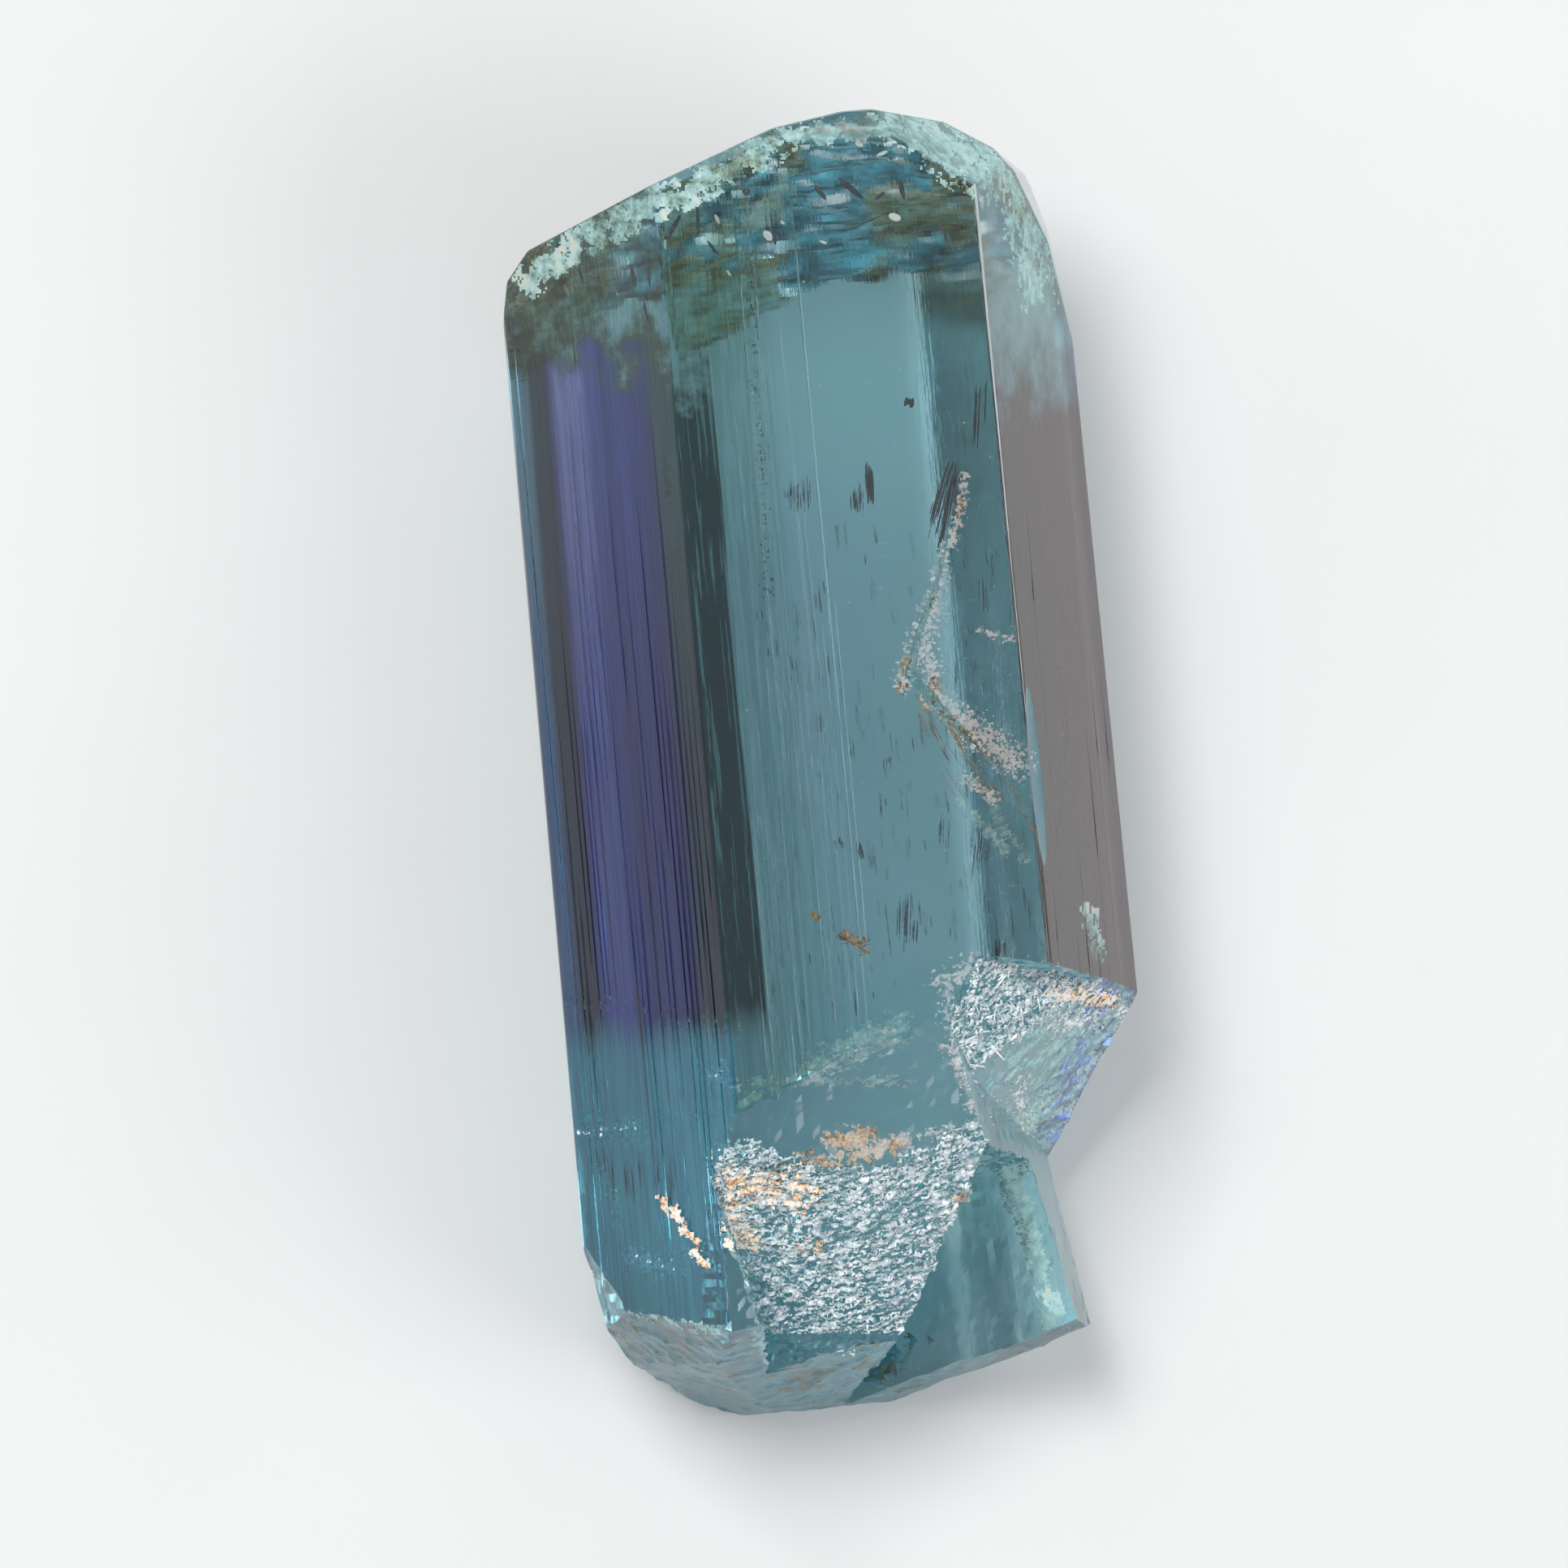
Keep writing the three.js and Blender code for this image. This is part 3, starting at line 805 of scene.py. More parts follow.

# %% [markdown]
# ## Bloom
# White bloom, which is crushed crystal in hairline cracks just under the surface, lines the steps
# and rims; down the leg's left wall it is painted sparkle, a painted highlight. The numbers of a
# stroke are the pixels where it starts and ends, and its reach.

# %% White bloom along steps and rims
BLOOM_AND_PAINTED_SPARKLE_STROKES = [
    (1160, 1210, 1200, 1188, 26),
    (1200, 1190, 1290, 1200, 22),
    (1290, 1200, 1370, 1228, 16),
    (1165, 1215, 1172, 1290, 20),
    (1172, 1290, 1198, 1362, 16),
    (1190, 1350, 1225, 1360, 14),
    (1255, 1330, 1262, 1440, 24),
    # The next two strokes, down the leg's left wall, are painted sparkle: a painted highlight.
    (1225, 1430, 1265, 1530, 12),
    (1262, 1530, 1290, 1640, 5),
    (1300, 1260, 1385, 1245, 26),
    (1040, 1295, 1100, 1268, 24),
    (1000, 1312, 1060, 1290, 12),
    (1080, 1408, 1190, 1390, 16),
    (735, 1392, 785, 1388, 16),
    (700, 1392, 730, 1396, 9),
    (785, 1545, 830, 1562, 24),
    (830, 1560, 850, 1530, 14),
    (862, 1545, 880, 1554, 16),
    (748, 1478, 762, 1468, 10),
    (715, 1560, 750, 1572, 9),
    (880, 1415, 898, 1520, 18),
    (885, 1410, 950, 1450, 12),
    (985, 1650, 1050, 1664, 10),
    (1085, 1708, 1125, 1682, 12),
    (880, 1322, 908, 1340, 16),
    (895, 1300, 897, 1322, 7),
    (1205, 780, 1245, 788, 9),
]
BLOOM = {"Bareness": 0.66, "Patch_Size": 0.16, "Stretch": 1.6}
BLOOM |= {"Hill": 0.15, "Grain": 0.03, "Grain_Size": 0.07}
bloom = dropped_film("bloom", BLOOM_AND_PAINTED_SPARKLE_STROKES, 0.025, -0.075, 0.01, **BLOOM, Seed=9.0)

# %% [markdown]
# ## The filled crack
# The crack is full of crushed crystal, which lies round it as well. So it has a film of its own,
# wider where the photograph shows more, and crumbs on top.

# %% Crushed crystal along the crack
CRACK_STROKES = [
    (1187, 590, 1180, 640, 9),
    (1180, 640, 1158, 700, 12),
    (1158, 700, 1148, 750, 16),
    (1148, 750, 1130, 800, 24),
    (1130, 800, 1113, 838, 20),
    (1140, 800, 1152, 860, 20),
    (1152, 860, 1200, 900, 24),
    (1200, 900, 1248, 940, 30),
    (1190, 960, 1222, 985, 12),
    (1125, 800, 1110, 850, 12),
]
CRUSHED = {"Bareness": 0.64, "Patch_Size": 0.08, "Hill": 0.1, "Grain": 0.02, "Grain_Size": 0.06}
crack_film = dropped_film("crack_film", CRACK_STROKES, 0.018, -0.055, 0.01, **CRUSHED, Seed=2.0)

# %% [markdown]
# ## Rust
# Water left iron oxide where it could creep in: in the corner above the glittering break, on the
# wall left of it, along the step at the right, and in the crack. Some of it lies on the stone, and
# some a little inside.

# %% Rust stains
RUST_STROKES = [
    (900, 1448, 1000, 1466, 20),
    (905, 1462, 985, 1478, 20),
    (902, 1450, 906, 1525, 18),
    (905, 1500, 930, 1528, 16),
    (980, 1534, 1012, 1534, 9),
    (818, 1476, 838, 1498, 11),
    (842, 1510, 858, 1526, 10),
    (856, 1538, 870, 1554, 9),
    (1300, 1224, 1372, 1232, 13),
    (1158, 1240, 1164, 1262, 9),
    (1178, 1478, 1190, 1472, 12),
]
RUST_TOP = 4.75
RUST = {"Bareness": 0.6, "Patch_Size": 0.16, "Grain": 0.02, "Grain_Size": 0.06, "Hill": 0.05}
rust = dropped_film("rust", RUST_STROKES, 0.028, 0.045, 0.012, highest=RUST_TOP, **RUST, Seed=5.0)
INNER_RUST_STROKES = [
    (960, 1440, 1030, 1425, 20),
    (1030, 1405, 1065, 1400, 22),
    (1060, 1420, 1105, 1408, 18),
]
inner_rust = dropped_film("inner_rust", INNER_RUST_STROKES, 0.022, -0.06, 0.01, **RUST, Seed=6.0)
CRACK_RUST_STROKES = [
    (1184, 616, 1180, 632, 8),
    (1116, 815, 1109, 850, 10),
    (1152, 834, 1148, 870, 9),
    (1160, 878, 1192, 906, 12),
    (1192, 906, 1214, 932, 6),
    (1150, 740, 1145, 750, 6),
    (1040, 1152, 1062, 1164, 15),
    (1002, 1126, 1008, 1130, 8),
    (1202, 962, 1212, 976, 6),
]
CRACK_RUST = {"Bareness": 0.62, "Patch_Size": 0.08, "Grain": 0.01, "Grain_Size": 0.05}
crack_rust = dropped_film("crack_rust", CRACK_RUST_STROKES, 0.018, -0.045, 0.01, **CRACK_RUST, Seed=7.0)

# %% [markdown]
# ## Milky skin and painted rim highlights
# The worn corner is milky: the stone is etched so finely there that it scatters light. Along the
# rims of the grown end, of the right side and of the front lower edge the same film is a painted
# highlight. A film with few holes carries both, and its finish lets half of the light by.

# %% Milky skin on the worn corner and painted highlights on the rims
# Strokes along the rims paint a highlight; those on the worn corner are milky stone.
SKIN_AND_RIM_HIGHLIGHT_STROKES = [
    (690, 312, 850, 236, 26),
    (850, 236, 960, 180, 26),
    (960, 172, 1120, 158, 20),
    (1120, 162, 1225, 215, 46),
    (655, 345, 700, 312, 26),
    (1245, 235, 1310, 330, 26),
    (1262, 240, 1276, 360, 34),
    (1255, 1300, 1330, 1290, 44),
    (1265, 1380, 1330, 1350, 40),
    (1330, 1300, 1390, 1250, 40),
    (1270, 1420, 1310, 1400, 30),
    (1245, 1440, 1305, 1640, 16),
    (1340, 1120, 1352, 1180, 14),
    (1398, 560, 1418, 800, 8),
    (1418, 800, 1440, 1180, 8),
    (775, 1622, 885, 1636, 10),
]
SKIN_AND_RIM_HIGHLIGHT = {"Bareness": 0.57, "Patch_Size": 0.3, "Grain": 0.0, "Hill": 0.0}
skin = dropped_film("skin", SKIN_AND_RIM_HIGHLIGHT_STROKES, 0.04, 0.004, 0.006, **SKIN_AND_RIM_HIGHLIGHT, Grain_Size=0.1, Seed=4.0)
VEIL_STROKES = [
    (690, 1385, 800, 1380, 8),
    (800, 1380, 900, 1366, 7),
    (900, 1366, 1000, 1312, 8),
    (1000, 1316, 1100, 1268, 26),
    (1010, 1296, 1112, 1256, 14),
    (720, 1380, 792, 1400, 20),
    (740, 1440, 760, 1500, 14),
    (930, 1330, 1120, 1330, 9),
    (1302, 822, 1312, 880, 6),
    (1312, 880, 1310, 960, 6),
    (1310, 960, 1286, 1100, 6),
    (1225, 1000, 1262, 1060, 10),
    (1180, 985, 1240, 1050, 10),
    (820, 560, 826, 620, 5),
    (700, 1230, 900, 1262, 16),
]
VEIL = {"Bareness": 0.6, "Patch_Size": 0.22, "Stretch": 2.2, "Slant": -0.3, "Grain": 0.0}
veils = dropped_film("veils", VEIL_STROKES, 0.025, -0.03, 0.006, **VEIL, Grain_Size=0.1, Seed=8.0)

# %% [markdown]
# ## The olive crust
# The etched faces on the far side of the grown end carry a thin olive-brown crust, which is seen
# through the stone, and so does the broken end. It lies a little inside the surface, because a film
# behind clear beryl would be hidden by the mirror that a surface makes for light that meets it at a
# low angle. Strokes make it thicker or clear it where the photograph shows that.

# %% Olive crust
CLEAR_STROKES = [
    (985, 290, 985, 430, 80),
    (1000, 205, 1085, 215, 45),
    (1120, 330, 1130, 420, 60),
]
THICK_STROKES = [
    (835, 370, 910, 370, 50),
    (760, 380, 830, 420, 60),
    (1060, 260, 1180, 300, 45),
]
BASE_THICK_STROKES = [
    (780, 1650, 900, 1668, 45),
    (1070, 1670, 1130, 1700, 50),
    (960, 1690, 1010, 1700, 40),
]
BASE_CRUST_BELOW = -10.9
BASE_CRUST_LEFT_OF = 1150
CRUST_FROM = 6
CRUST_DEPTH = -0.06
CLEARING = 1.5
CRUST_GRAINS = {"Grain": 0.02, "Grain_Size": 0.2, "Seed": 1.0}
CRUST = CRUST_GRAINS | {"Bareness": 0.49, "Patch_Size": 0.8, "Stretch": 0.55, "Slant": 0.6}
BASE_CRUST = CRUST_GRAINS | {"Bareness": 0.63, "Patch_Size": 0.7}
crust = copy_faces("crust", (kinds == ETCHED) & (middles[:, 1] > CRUST_FROM))
lift_film(crust, 1, CRUST_DEPTH)
crust_seen = seen_at(points_of(crust))
cleared = np.maximum(inside_strokes(crust_seen, CLEAR_STROKES), 0)
write_cover(crust, np.maximum(inside_strokes(crust_seen, THICK_STROKES), 0) - CLEARING * cleared)
finish_film(crust, 0.01, **CRUST)
base_faces = (kinds == BROKEN) & (middles[:, 1] < BASE_CRUST_BELOW) & (shown_at < BASE_CRUST_LEFT_OF)
base_crust = copy_faces("base_crust", base_faces)
lift_film(base_crust, 1, CRUST_DEPTH)
thick_at_base = inside_strokes(seen_at(points_of(base_crust)), BASE_THICK_STROKES)
write_cover(base_crust, np.maximum(thick_at_base, 0))
finish_film(base_crust, 0.01, **BASE_CRUST)

# %% [markdown]
# ## Crumbs and splinters
# One rough crumb and one splinter are modelled, and Geometry Nodes scatters copies of them over a
# film, sized and turned by chance, and makes them real mesh. Splinters lie flat on the film, so
# that they cross in a lattice.

# %% The node group that scatters copies
def scatter_group(copied, lies_flat):
    """Scatters copies of one piece over a mesh and makes them real."""
    tree, given, result = geometry_group("scatter " + copied.name, ("Density", "Smallest", "Largest"))
    tree.interface.new_socket("Seed", in_out="INPUT", socket_type="NodeSocketInt")
    bed = {"Mesh": given["Geometry"], "Density": given["Density"], "Seed": given["Seed"]}
    points = add_node(tree, "GeometryNodeDistributePointsOnFaces", **bed).outputs
    shape = add_node(tree, "GeometryNodeObjectInfo", Object=copied).outputs["Geometry"]
    size = add_node(tree, "FunctionNodeRandomValue", i2=given["Smallest"], i3=given["Largest"]).outputs[1]
    if lies_flat:
        angle = add_node(tree, "FunctionNodeRandomValue", i3=math.tau).outputs[1]
        spin = add_node(tree, "ShaderNodeCombineXYZ", Z=angle).outputs[0]
        local = {"rotation_space": "LOCAL"}
        turned = add_node(tree, "FunctionNodeRotateRotation", local, i0=points["Rotation"], i1=spin)
    else:
        turned = add_node(tree, "FunctionNodeRandomValue", {"data_type": "FLOAT_VECTOR"}, i1=(math.tau,) * 3)
    how = {"Points": points["Points"], "Instance": shape, "Rotation": turned.outputs[0], "Scale": size}
    copies = add_node(tree, "GeometryNodeInstanceOnPoints", **how)
    real = add_node(tree, "GeometryNodeRealizeInstances", i0=copies.outputs[0])
    tree.links.new(real.outputs[0], result)
    return tree


bpy.ops.mesh.primitive_ico_sphere_add(subdivisions=1, radius=1)
crumb = bpy.context.object
crumb.name = "crumb"
CRUMB_SHAPE = {"Wave": 0.5, "Wave_Size": 0.7, "Grain": 0.0, "Grain_Size": 1.0, "Ledge_Height": 0.0}
apply_nodes(crumb, broken_face, **(CRUMB_SHAPE | {"Ledge_Pitch": 1.0, "Bow": 0.0, "Seed": 2.0}))
bpy.ops.mesh.primitive_ico_sphere_add(subdivisions=1, radius=1, scale=(1, 0.05, 0.05))
splinter = bpy.context.object
splinter.name = "splinter"
bpy.ops.object.transform_apply(location=True, rotation=True, scale=True)
scatter_crumbs = scatter_group(crumb, False)
scatter_splinters = scatter_group(splinter, True)
print("scattered by:", [tree.name for tree in (scatter_crumbs, scatter_splinters)])

# %% [markdown]
# The density is how many copies lie on a square millimetre, and their sizes are half widths. The
# splinters lie on the faces of the glittering corner alone.

# %% Crumbs and splinters on the films
def scatter_on(name, bed, group, density, smallest, largest, seed):
    """Copies scattered over a copy of a piece, as a piece of their own."""
    work_on(bed)
    bpy.ops.object.duplicate()
    made = bpy.context.object
    made.name = name
    apply_nodes(made, group, Density=density, Smallest=smallest, Largest=largest, Seed=seed)
    print(name, "has", len(made.data.polygons), "faces")
    return made


CORNER_TOP = 4.5
CORNER_END = 1380
crack_crumbs = scatter_on("crack_crumbs", crack_film, scatter_crumbs, 300.0, 0.008, 0.022, 4)
break_crumbs = scatter_on("break_crumbs", frost, scatter_crumbs, 10.0, 0.01, 0.03, 6)
bloom_crumbs = scatter_on("bloom_crumbs", bloom, scatter_crumbs, 30.0, 0.008, 0.024, 9)
corner_faces = (kinds == GLITTER) & (middles[:, 2] < CORNER_TOP) & (shown_down < CORNER_END)
corner_bed = copy_faces("corner bed", corner_faces)
splinters = scatter_on("splinters", corner_bed, scatter_splinters, 20.0, 0.1, 0.45, 3)
for used in (crumb, splinter, corner_bed):
    bpy.data.objects.remove(used)

# %% [markdown]
# ## Growth tubes, needles and feathers
# Thin dark tubes run along the crystal, and fine needles with them. Dark and brown feathers fan out
# from the two ends of the crack, and dark slits lie in the grown end. White flakes in the grown end
# are painted glints: a painted highlight. All are long thin balls. Each is placed so far under the
# surface point that its pixels show, and they are joined in a few pieces.

# %% Tubes, needles and feathers
def under_surface(px, py, depth):
    """The point so far under the stone's surface, along the view, that a pixel shows."""
    aside, above = on_view_plane(px, py)
    start = aim + aside * right + above * up - AXIS_AT + HIGH_ABOVE * towards
    hit, place, _, _ = crystal.ray_cast(start, -towards)
    return place - depth * towards if hit else None


def sliver(start, end, width, thickness):
    """A long thin ball from one point to another, this wide and thick at its middle."""
    line = end - start
    bpy.ops.mesh.primitive_ico_sphere_add(subdivisions=2, radius=1)
    made = bpy.context.object
    made.scale = (width, line.length / 2, thickness)
    made.rotation_euler = line.to_track_quat("Y", "Z").to_euler()
    made.location = (start + end) / 2
    bpy.ops.object.transform_apply(location=True, rotation=True, scale=True)
    return made


def slivers(name, table, depth, thickness, bundle=1):
    """One piece of slivers, each given by two pixels and a half width, or of loose bundles of them."""
    made = []
    for x1, y1, x2, y2, width in table:
        for _ in range(bundle):
            aside = float(chance.normal(0, BUNDLE_SPREAD)) if bundle > 1 else 0
            cut_short = chance.uniform(0, CUT_SHORT, 2).tolist() if bundle > 1 else (0, 0)
            share = float(chance.uniform(*BUNDLE_SHARE)) if bundle > 1 else 1
            start = (x1 + aside + (x2 - x1) * cut_short[0], y1 + (y2 - y1) * cut_short[0])
            end = (x2 + aside - (x2 - x1) * cut_short[1], y2 - (y2 - y1) * cut_short[1])
            wide = width * share
            ends = under_surface(*start, depth), under_surface(*end, depth)
            if None not in ends:
                made.append(sliver(*ends, wide, min(wide, thickness)))
    piece = join(made)
    piece.name = name
    print(name, "has", len(made), "slivers")
    return piece


BUNDLE_SPREAD = 3.5
CUT_SHORT = 0.4
BUNDLE_SHARE = (0.25, 0.6)
TUBES = [
    (1068, 568, 1071, 632, 0.06),
    (1050, 602, 1052, 636, 0.03),
    (1060, 590, 1060, 642, 0.02),
    (1122, 488, 1118, 506, 0.07),
    (1207, 465, 1203, 560, 0.035),
    (1178, 560, 1150, 690, 0.025),
    (1170, 572, 1144, 672, 0.03),
    (1164, 590, 1140, 664, 0.03),
    (1180, 576, 1162, 650, 0.025),
    (1158, 600, 1146, 650, 0.02),
    (1184, 566, 1158, 690, 0.03),
    (1174, 566, 1160, 610, 0.03),
    (1168, 610, 1150, 690, 0.03),
    (980, 590, 982, 636, 0.018),
    (990, 585, 992, 640, 0.015),
    (968, 596, 970, 626, 0.012),
    (975, 590, 976, 620, 0.012),
    (1210, 705, 1212, 765, 0.018),
    (1118, 1075, 1114, 1180, 0.028),
    (1112, 1100, 1110, 1160, 0.02),
    (1207, 1010, 1200, 1085, 0.028),
    (1214, 1030, 1210, 1070, 0.022),
    (1032, 1030, 1036, 1048, 0.035),
    (1056, 1034, 1062, 1060, 0.02),
    (1128, 1130, 1126, 1170, 0.018),
    (1232, 1150, 1232, 1185, 0.03),
    (1222, 1155, 1222, 1190, 0.02),
    (1095, 925, 1094, 950, 0.02),
    (1160, 1000, 1158, 1050, 0.016),
    (742, 1400, 748, 1470, 0.03),
    (756, 1410, 762, 1500, 0.022),
    (775, 1415, 780, 1490, 0.03),
    (792, 1410, 796, 1470, 0.018),
    (812, 1420, 816, 1470, 0.025),
    (826, 1415, 832, 1500, 0.018),
]
SLITS = [
    (1030, 222, 1062, 249, 0.06),
    (1002, 232, 1016, 250, 0.05),
    (1036, 290, 1086, 268, 0.02),
    (1106, 224, 1112, 250, 0.05),
    (820, 300, 838, 268, 0.05),
    (858, 258, 860, 296, 0.04),
    (950, 284, 954, 306, 0.04),
    (785, 330, 790, 356, 0.06),
    (806, 330, 808, 356, 0.04),
    (915, 236, 921, 244, 0.07),
    (870, 300, 884, 318, 0.03),
    (1076, 250, 1088, 240, 0.04),
    (720, 330, 726, 352, 0.05),
    (800, 372, 806, 400, 0.04),
]
# Painted highlights: white flakes just under the grown end where it glints.
PAINTED_GLINTS = [
    (940, 288, 950, 300, 0.08),
    (1093, 268, 1108, 274, 0.08),
    (1052, 180, 1062, 184, 0.05),
    (1078, 196, 1092, 190, 0.04),
    (960, 276, 966, 280, 0.03),
    (1008, 300, 1018, 304, 0.03),
    (990, 168, 1080, 166, 0.07),
    (662, 322, 672, 334, 0.1),
    (690, 318, 700, 322, 0.06),
    (700, 352, 706, 366, 0.07),
    (894, 336, 900, 344, 0.03),
    (760, 300, 768, 304, 0.05),
    (880, 268, 886, 280, 0.04),
    (1200, 240, 1206, 262, 0.05),
]
NEEDLES = {"count": 200, "x": (930, 1270), "y": (640, 1240), "depth": (0.1, 3.0)}
NEEDLES |= {"half": (5, 22), "width": (0.004, 0.011)}
SPECKS = {"count": 200, "x": (730, 1270), "y": (330, 1350), "depth": (0.1, 4.0), "size": (0.006, 0.018)}
DOTTED = {"count": 220, "x": (924, 946), "y": (330, 740), "spread": 3.5, "depth": 0.15}
DOTTED |= {"length": (2, 6), "width": (0.005, 0.015)}


def lying_at(start, length, width):
    """A sliver that runs from a point down the crystal."""
    return sliver(start, start - Vector((0, length, 0)), width, width)


tubes = slivers("tubes", TUBES, 0.25, 0.05, bundle=6)
slits = slivers("slits", SLITS, 0.4, 0.02)
glints = slivers("glints", PAINTED_GLINTS, 0.3, 0.02)
needles_made = []
for _ in range(NEEDLES["count"]):
    px = chance.uniform(*NEEDLES["x"])
    py = chance.uniform(*NEEDLES["y"])
    half = chance.uniform(*NEEDLES["half"])
    depth = chance.uniform(*NEEDLES["depth"])
    width = chance.uniform(*NEEDLES["width"])
    needles_made.append(lying_at(under_surface(px, py, depth), 2 * half * PIXEL, width))
for _ in range(DOTTED["count"]):
    share = chance.uniform(0, 1)
    aside = chance.normal(0, DOTTED["spread"])
    px = DOTTED["x"][0] + share * (DOTTED["x"][1] - DOTTED["x"][0]) + aside
    py = DOTTED["y"][0] + share * (DOTTED["y"][1] - DOTTED["y"][0])
    width = chance.uniform(*DOTTED["width"])
    length = chance.uniform(*DOTTED["length"]) * width
    needles_made.append(lying_at(under_surface(px, py, DOTTED["depth"]), length, width))
needles = join(needles_made + [tubes, slits])
needles.name = "needles"

FEATHERS = [
    (1122, 848, 1146, 892, 0.03),
    (1140, 880, 1166, 930, 0.02),
    (1166, 884, 1192, 940, 0.03),
    (1180, 925, 1212, 962, 0.02),
    (1205, 955, 1238, 992, 0.02),
    (1196, 912, 1232, 950, 0.025),
    (1225, 945, 1268, 1010, 0.014),
    (1150, 905, 1178, 950, 0.012),
    (1250, 980, 1292, 1060, 0.01),
    (1160, 940, 1190, 990, 0.01),
    (1130, 870, 1150, 920, 0.012),
]
feathers = slivers("feathers", FEATHERS, 0.05, 0.03, bundle=5)
RIM_LINES = [
    (1300, 822, 1314, 880, 0.012),
    (1313, 875, 1312, 960, 0.014),
    (1312, 950, 1286, 1100, 0.012),
    (1296, 700, 1318, 800, 0.008),
]
rim_lines = slivers("rim_lines", RIM_LINES, 0.04, 0.008)
veils = join([veils, rim_lines])

specks_made = []
for _ in range(SPECKS["count"]):
    px = chance.uniform(*SPECKS["x"])
    py = chance.uniform(*SPECKS["y"])
    size = chance.uniform(*SPECKS["size"])
    start = under_surface(px, py, chance.uniform(*SPECKS["depth"]))
    if start:
        specks_made.append(lying_at(start, 3 * size, size))
# The specks piece also carries the painted highlights of the grown end.
specks = join(specks_made + [glints])
specks.name = "specks"

# %% [markdown]
# ## Into the frame
# Every piece is scaled to metres and set down in the frame.

# %% Settle all pieces
settle(crystal)
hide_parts(CRYSTAL_NODE)
CRUSHED_PIECES = (frost, splinters, bloom, skin, veils, crack_film)
for piece in CRUSHED_PIECES + (crack_crumbs, break_crumbs, bloom_crumbs, specks):
    settle(piece)
for piece in (rust, inner_rust, crack_rust, feathers):
    settle(piece)
for piece in (crust, base_crust, needles):
    settle(piece)

# %% [markdown]
# ## Where a point lies on the prism
# Each prism face has its own tint, and the tints end at the prism's edges. The tints of the left and
# right faces and the dark band along the top face's left edge are painted reflection and painted
# shade. This group tells a material, from Object coordinates alone, how far across each of the three
# upper faces a point lies, and gives streaks along the crystal.

# %% The node group for places on the prism
FACE_SKIN = 0.07
FACE_FADE = 0.03
UPPER_FACES = {"Left": "upper left", "Top": "top", "Right": "upper right"}
STREAKS = {"Streaks": (4.0, 0.02), "Fine Streaks": (14.0, 0.03)}


def prism_places_group():
    """Place along and round the crystal, masks of its three upper faces, and growth streaks."""
    tree = bpy.data.node_groups.new("prism places", "ShaderNodeTree")
    masks = [label + what for label in UPPER_FACES for what in (" Mask", " Across")]
    for name in ["Along", "Mottle", *masks, *STREAKS]:
        tree.interface.new_socket(name, in_out="OUTPUT", socket_type="NodeSocketFloat")
    result = tree.nodes.new("NodeGroupOutput").inputs
    coordinates = tree.nodes.new("ShaderNodeTexCoord").outputs["Object"]
    to_axis = {"Location": -AXIS_AT, "Scale": (1 / MM,) * 3}
    place = add_node(tree, "ShaderNodeMapping", Vector=coordinates, **to_axis).outputs[0]
    x, y, z = add_node(tree, "ShaderNodeSeparateXYZ", i0=place).outputs
    widening = maths(tree, "ADD", maths(tree, "MULTIPLY", y, WIDENING), 1.0)
    straight_x = maths(tree, "MULTIPLY", x, widening)
    straight = add_node(tree, "ShaderNodeCombineXYZ", X=straight_x, Z=z).outputs[0]
    tree.links.new(y, result["Along"])
    for label, face in UPPER_FACES.items():
        turn, reach = PRISM_FACES[face]
        normal = face_normal(turn)
        out = vectors(tree, "DOT_PRODUCT", straight, normal, "Value")
        aside = vectors(tree, "DOT_PRODUCT", straight, (-normal.z, 0, normal.x), "Value")
        mask = step_between(tree, out, reach - FACE_SKIN, reach - FACE_SKIN + FACE_FADE)
        tree.links.new(mask, result[label + " Mask"])
        tree.links.new(aside, result[label + " Across"])
    for name, (scale, along_scale) in STREAKS.items():
        drawn = vectors(tree, "MULTIPLY", place, (1, along_scale, 1))
        tree.links.new(noise_at(tree, drawn, scale, 3.0, 0.6), result[name])
    tree.links.new(noise_at(tree, place, 1.1, 5.0, 0.65), result["Mottle"])
    return tree


prism_places = prism_places_group()
print("the group gives:", [item.name for item in prism_places.interface.items_tree])

# %% [markdown]
# ## Clear beryl
# The crystal is see-through by plain transmission, beryl's index of refraction, and a volume that
# absorbs red more than green and blue. On top of that come tints painted on the faces: bands of
# painted violet reflection with painted dark shade and a painted light edge on the left one, a painted
# dark shade band beside its edge on the top one, and a painted warm grey reflection on the right one.
# Broken and etched faces are rough, and the growth lines go on as fine bumps between the modelled ones.

# %% The tints of the faces
BERYL_IOR = 1.575
ABSORPTION_DENSITY = 70.0
ABSORPTION_COLOUR = (0.2, 0.74, 0.82, 1)
# Painted light on the left face: the violet and lilac bands are a painted reflection, the near-black bands
# are painted shade and the pale last band is a painted highlight along its edge.
LEFT_PAINTED_LIGHT_BANDS = [
    (0.0, (0.01, 0.03, 0.025)),
    (0.13, (0.02, 0.035, 0.045)),
    (0.19, (0.015, 0.012, 0.12)),
    (0.26, (0.02, 0.015, 0.2)),
    (0.36, (0.04, 0.03, 0.34)),
    (0.44, (0.02, 0.015, 0.2)),
    (0.48, (0.06, 0.04, 0.42)),
    (0.55, (0.1, 0.06, 0.5)),
    (0.58, (0.55, 0.24, 1.0)),
    (0.72, (0.6, 0.28, 1.0)),
    (0.75, (0.1, 0.05, 0.35)),
    (0.79, (0.01, 0.015, 0.03)),
    (0.88, (0.015, 0.025, 0.04)),
    (0.93, (0.3, 0.5, 0.7)),
]
LEFT_SPAN = (-2.45, 2.67)
LEFT_LOW_TINT = (0.08, 0.5, 0.68)
LEFT_FADED = (0.1, 0.2, 0.5)
MOTTLE_OLIVE = (0.04, 0.05, 0.02)
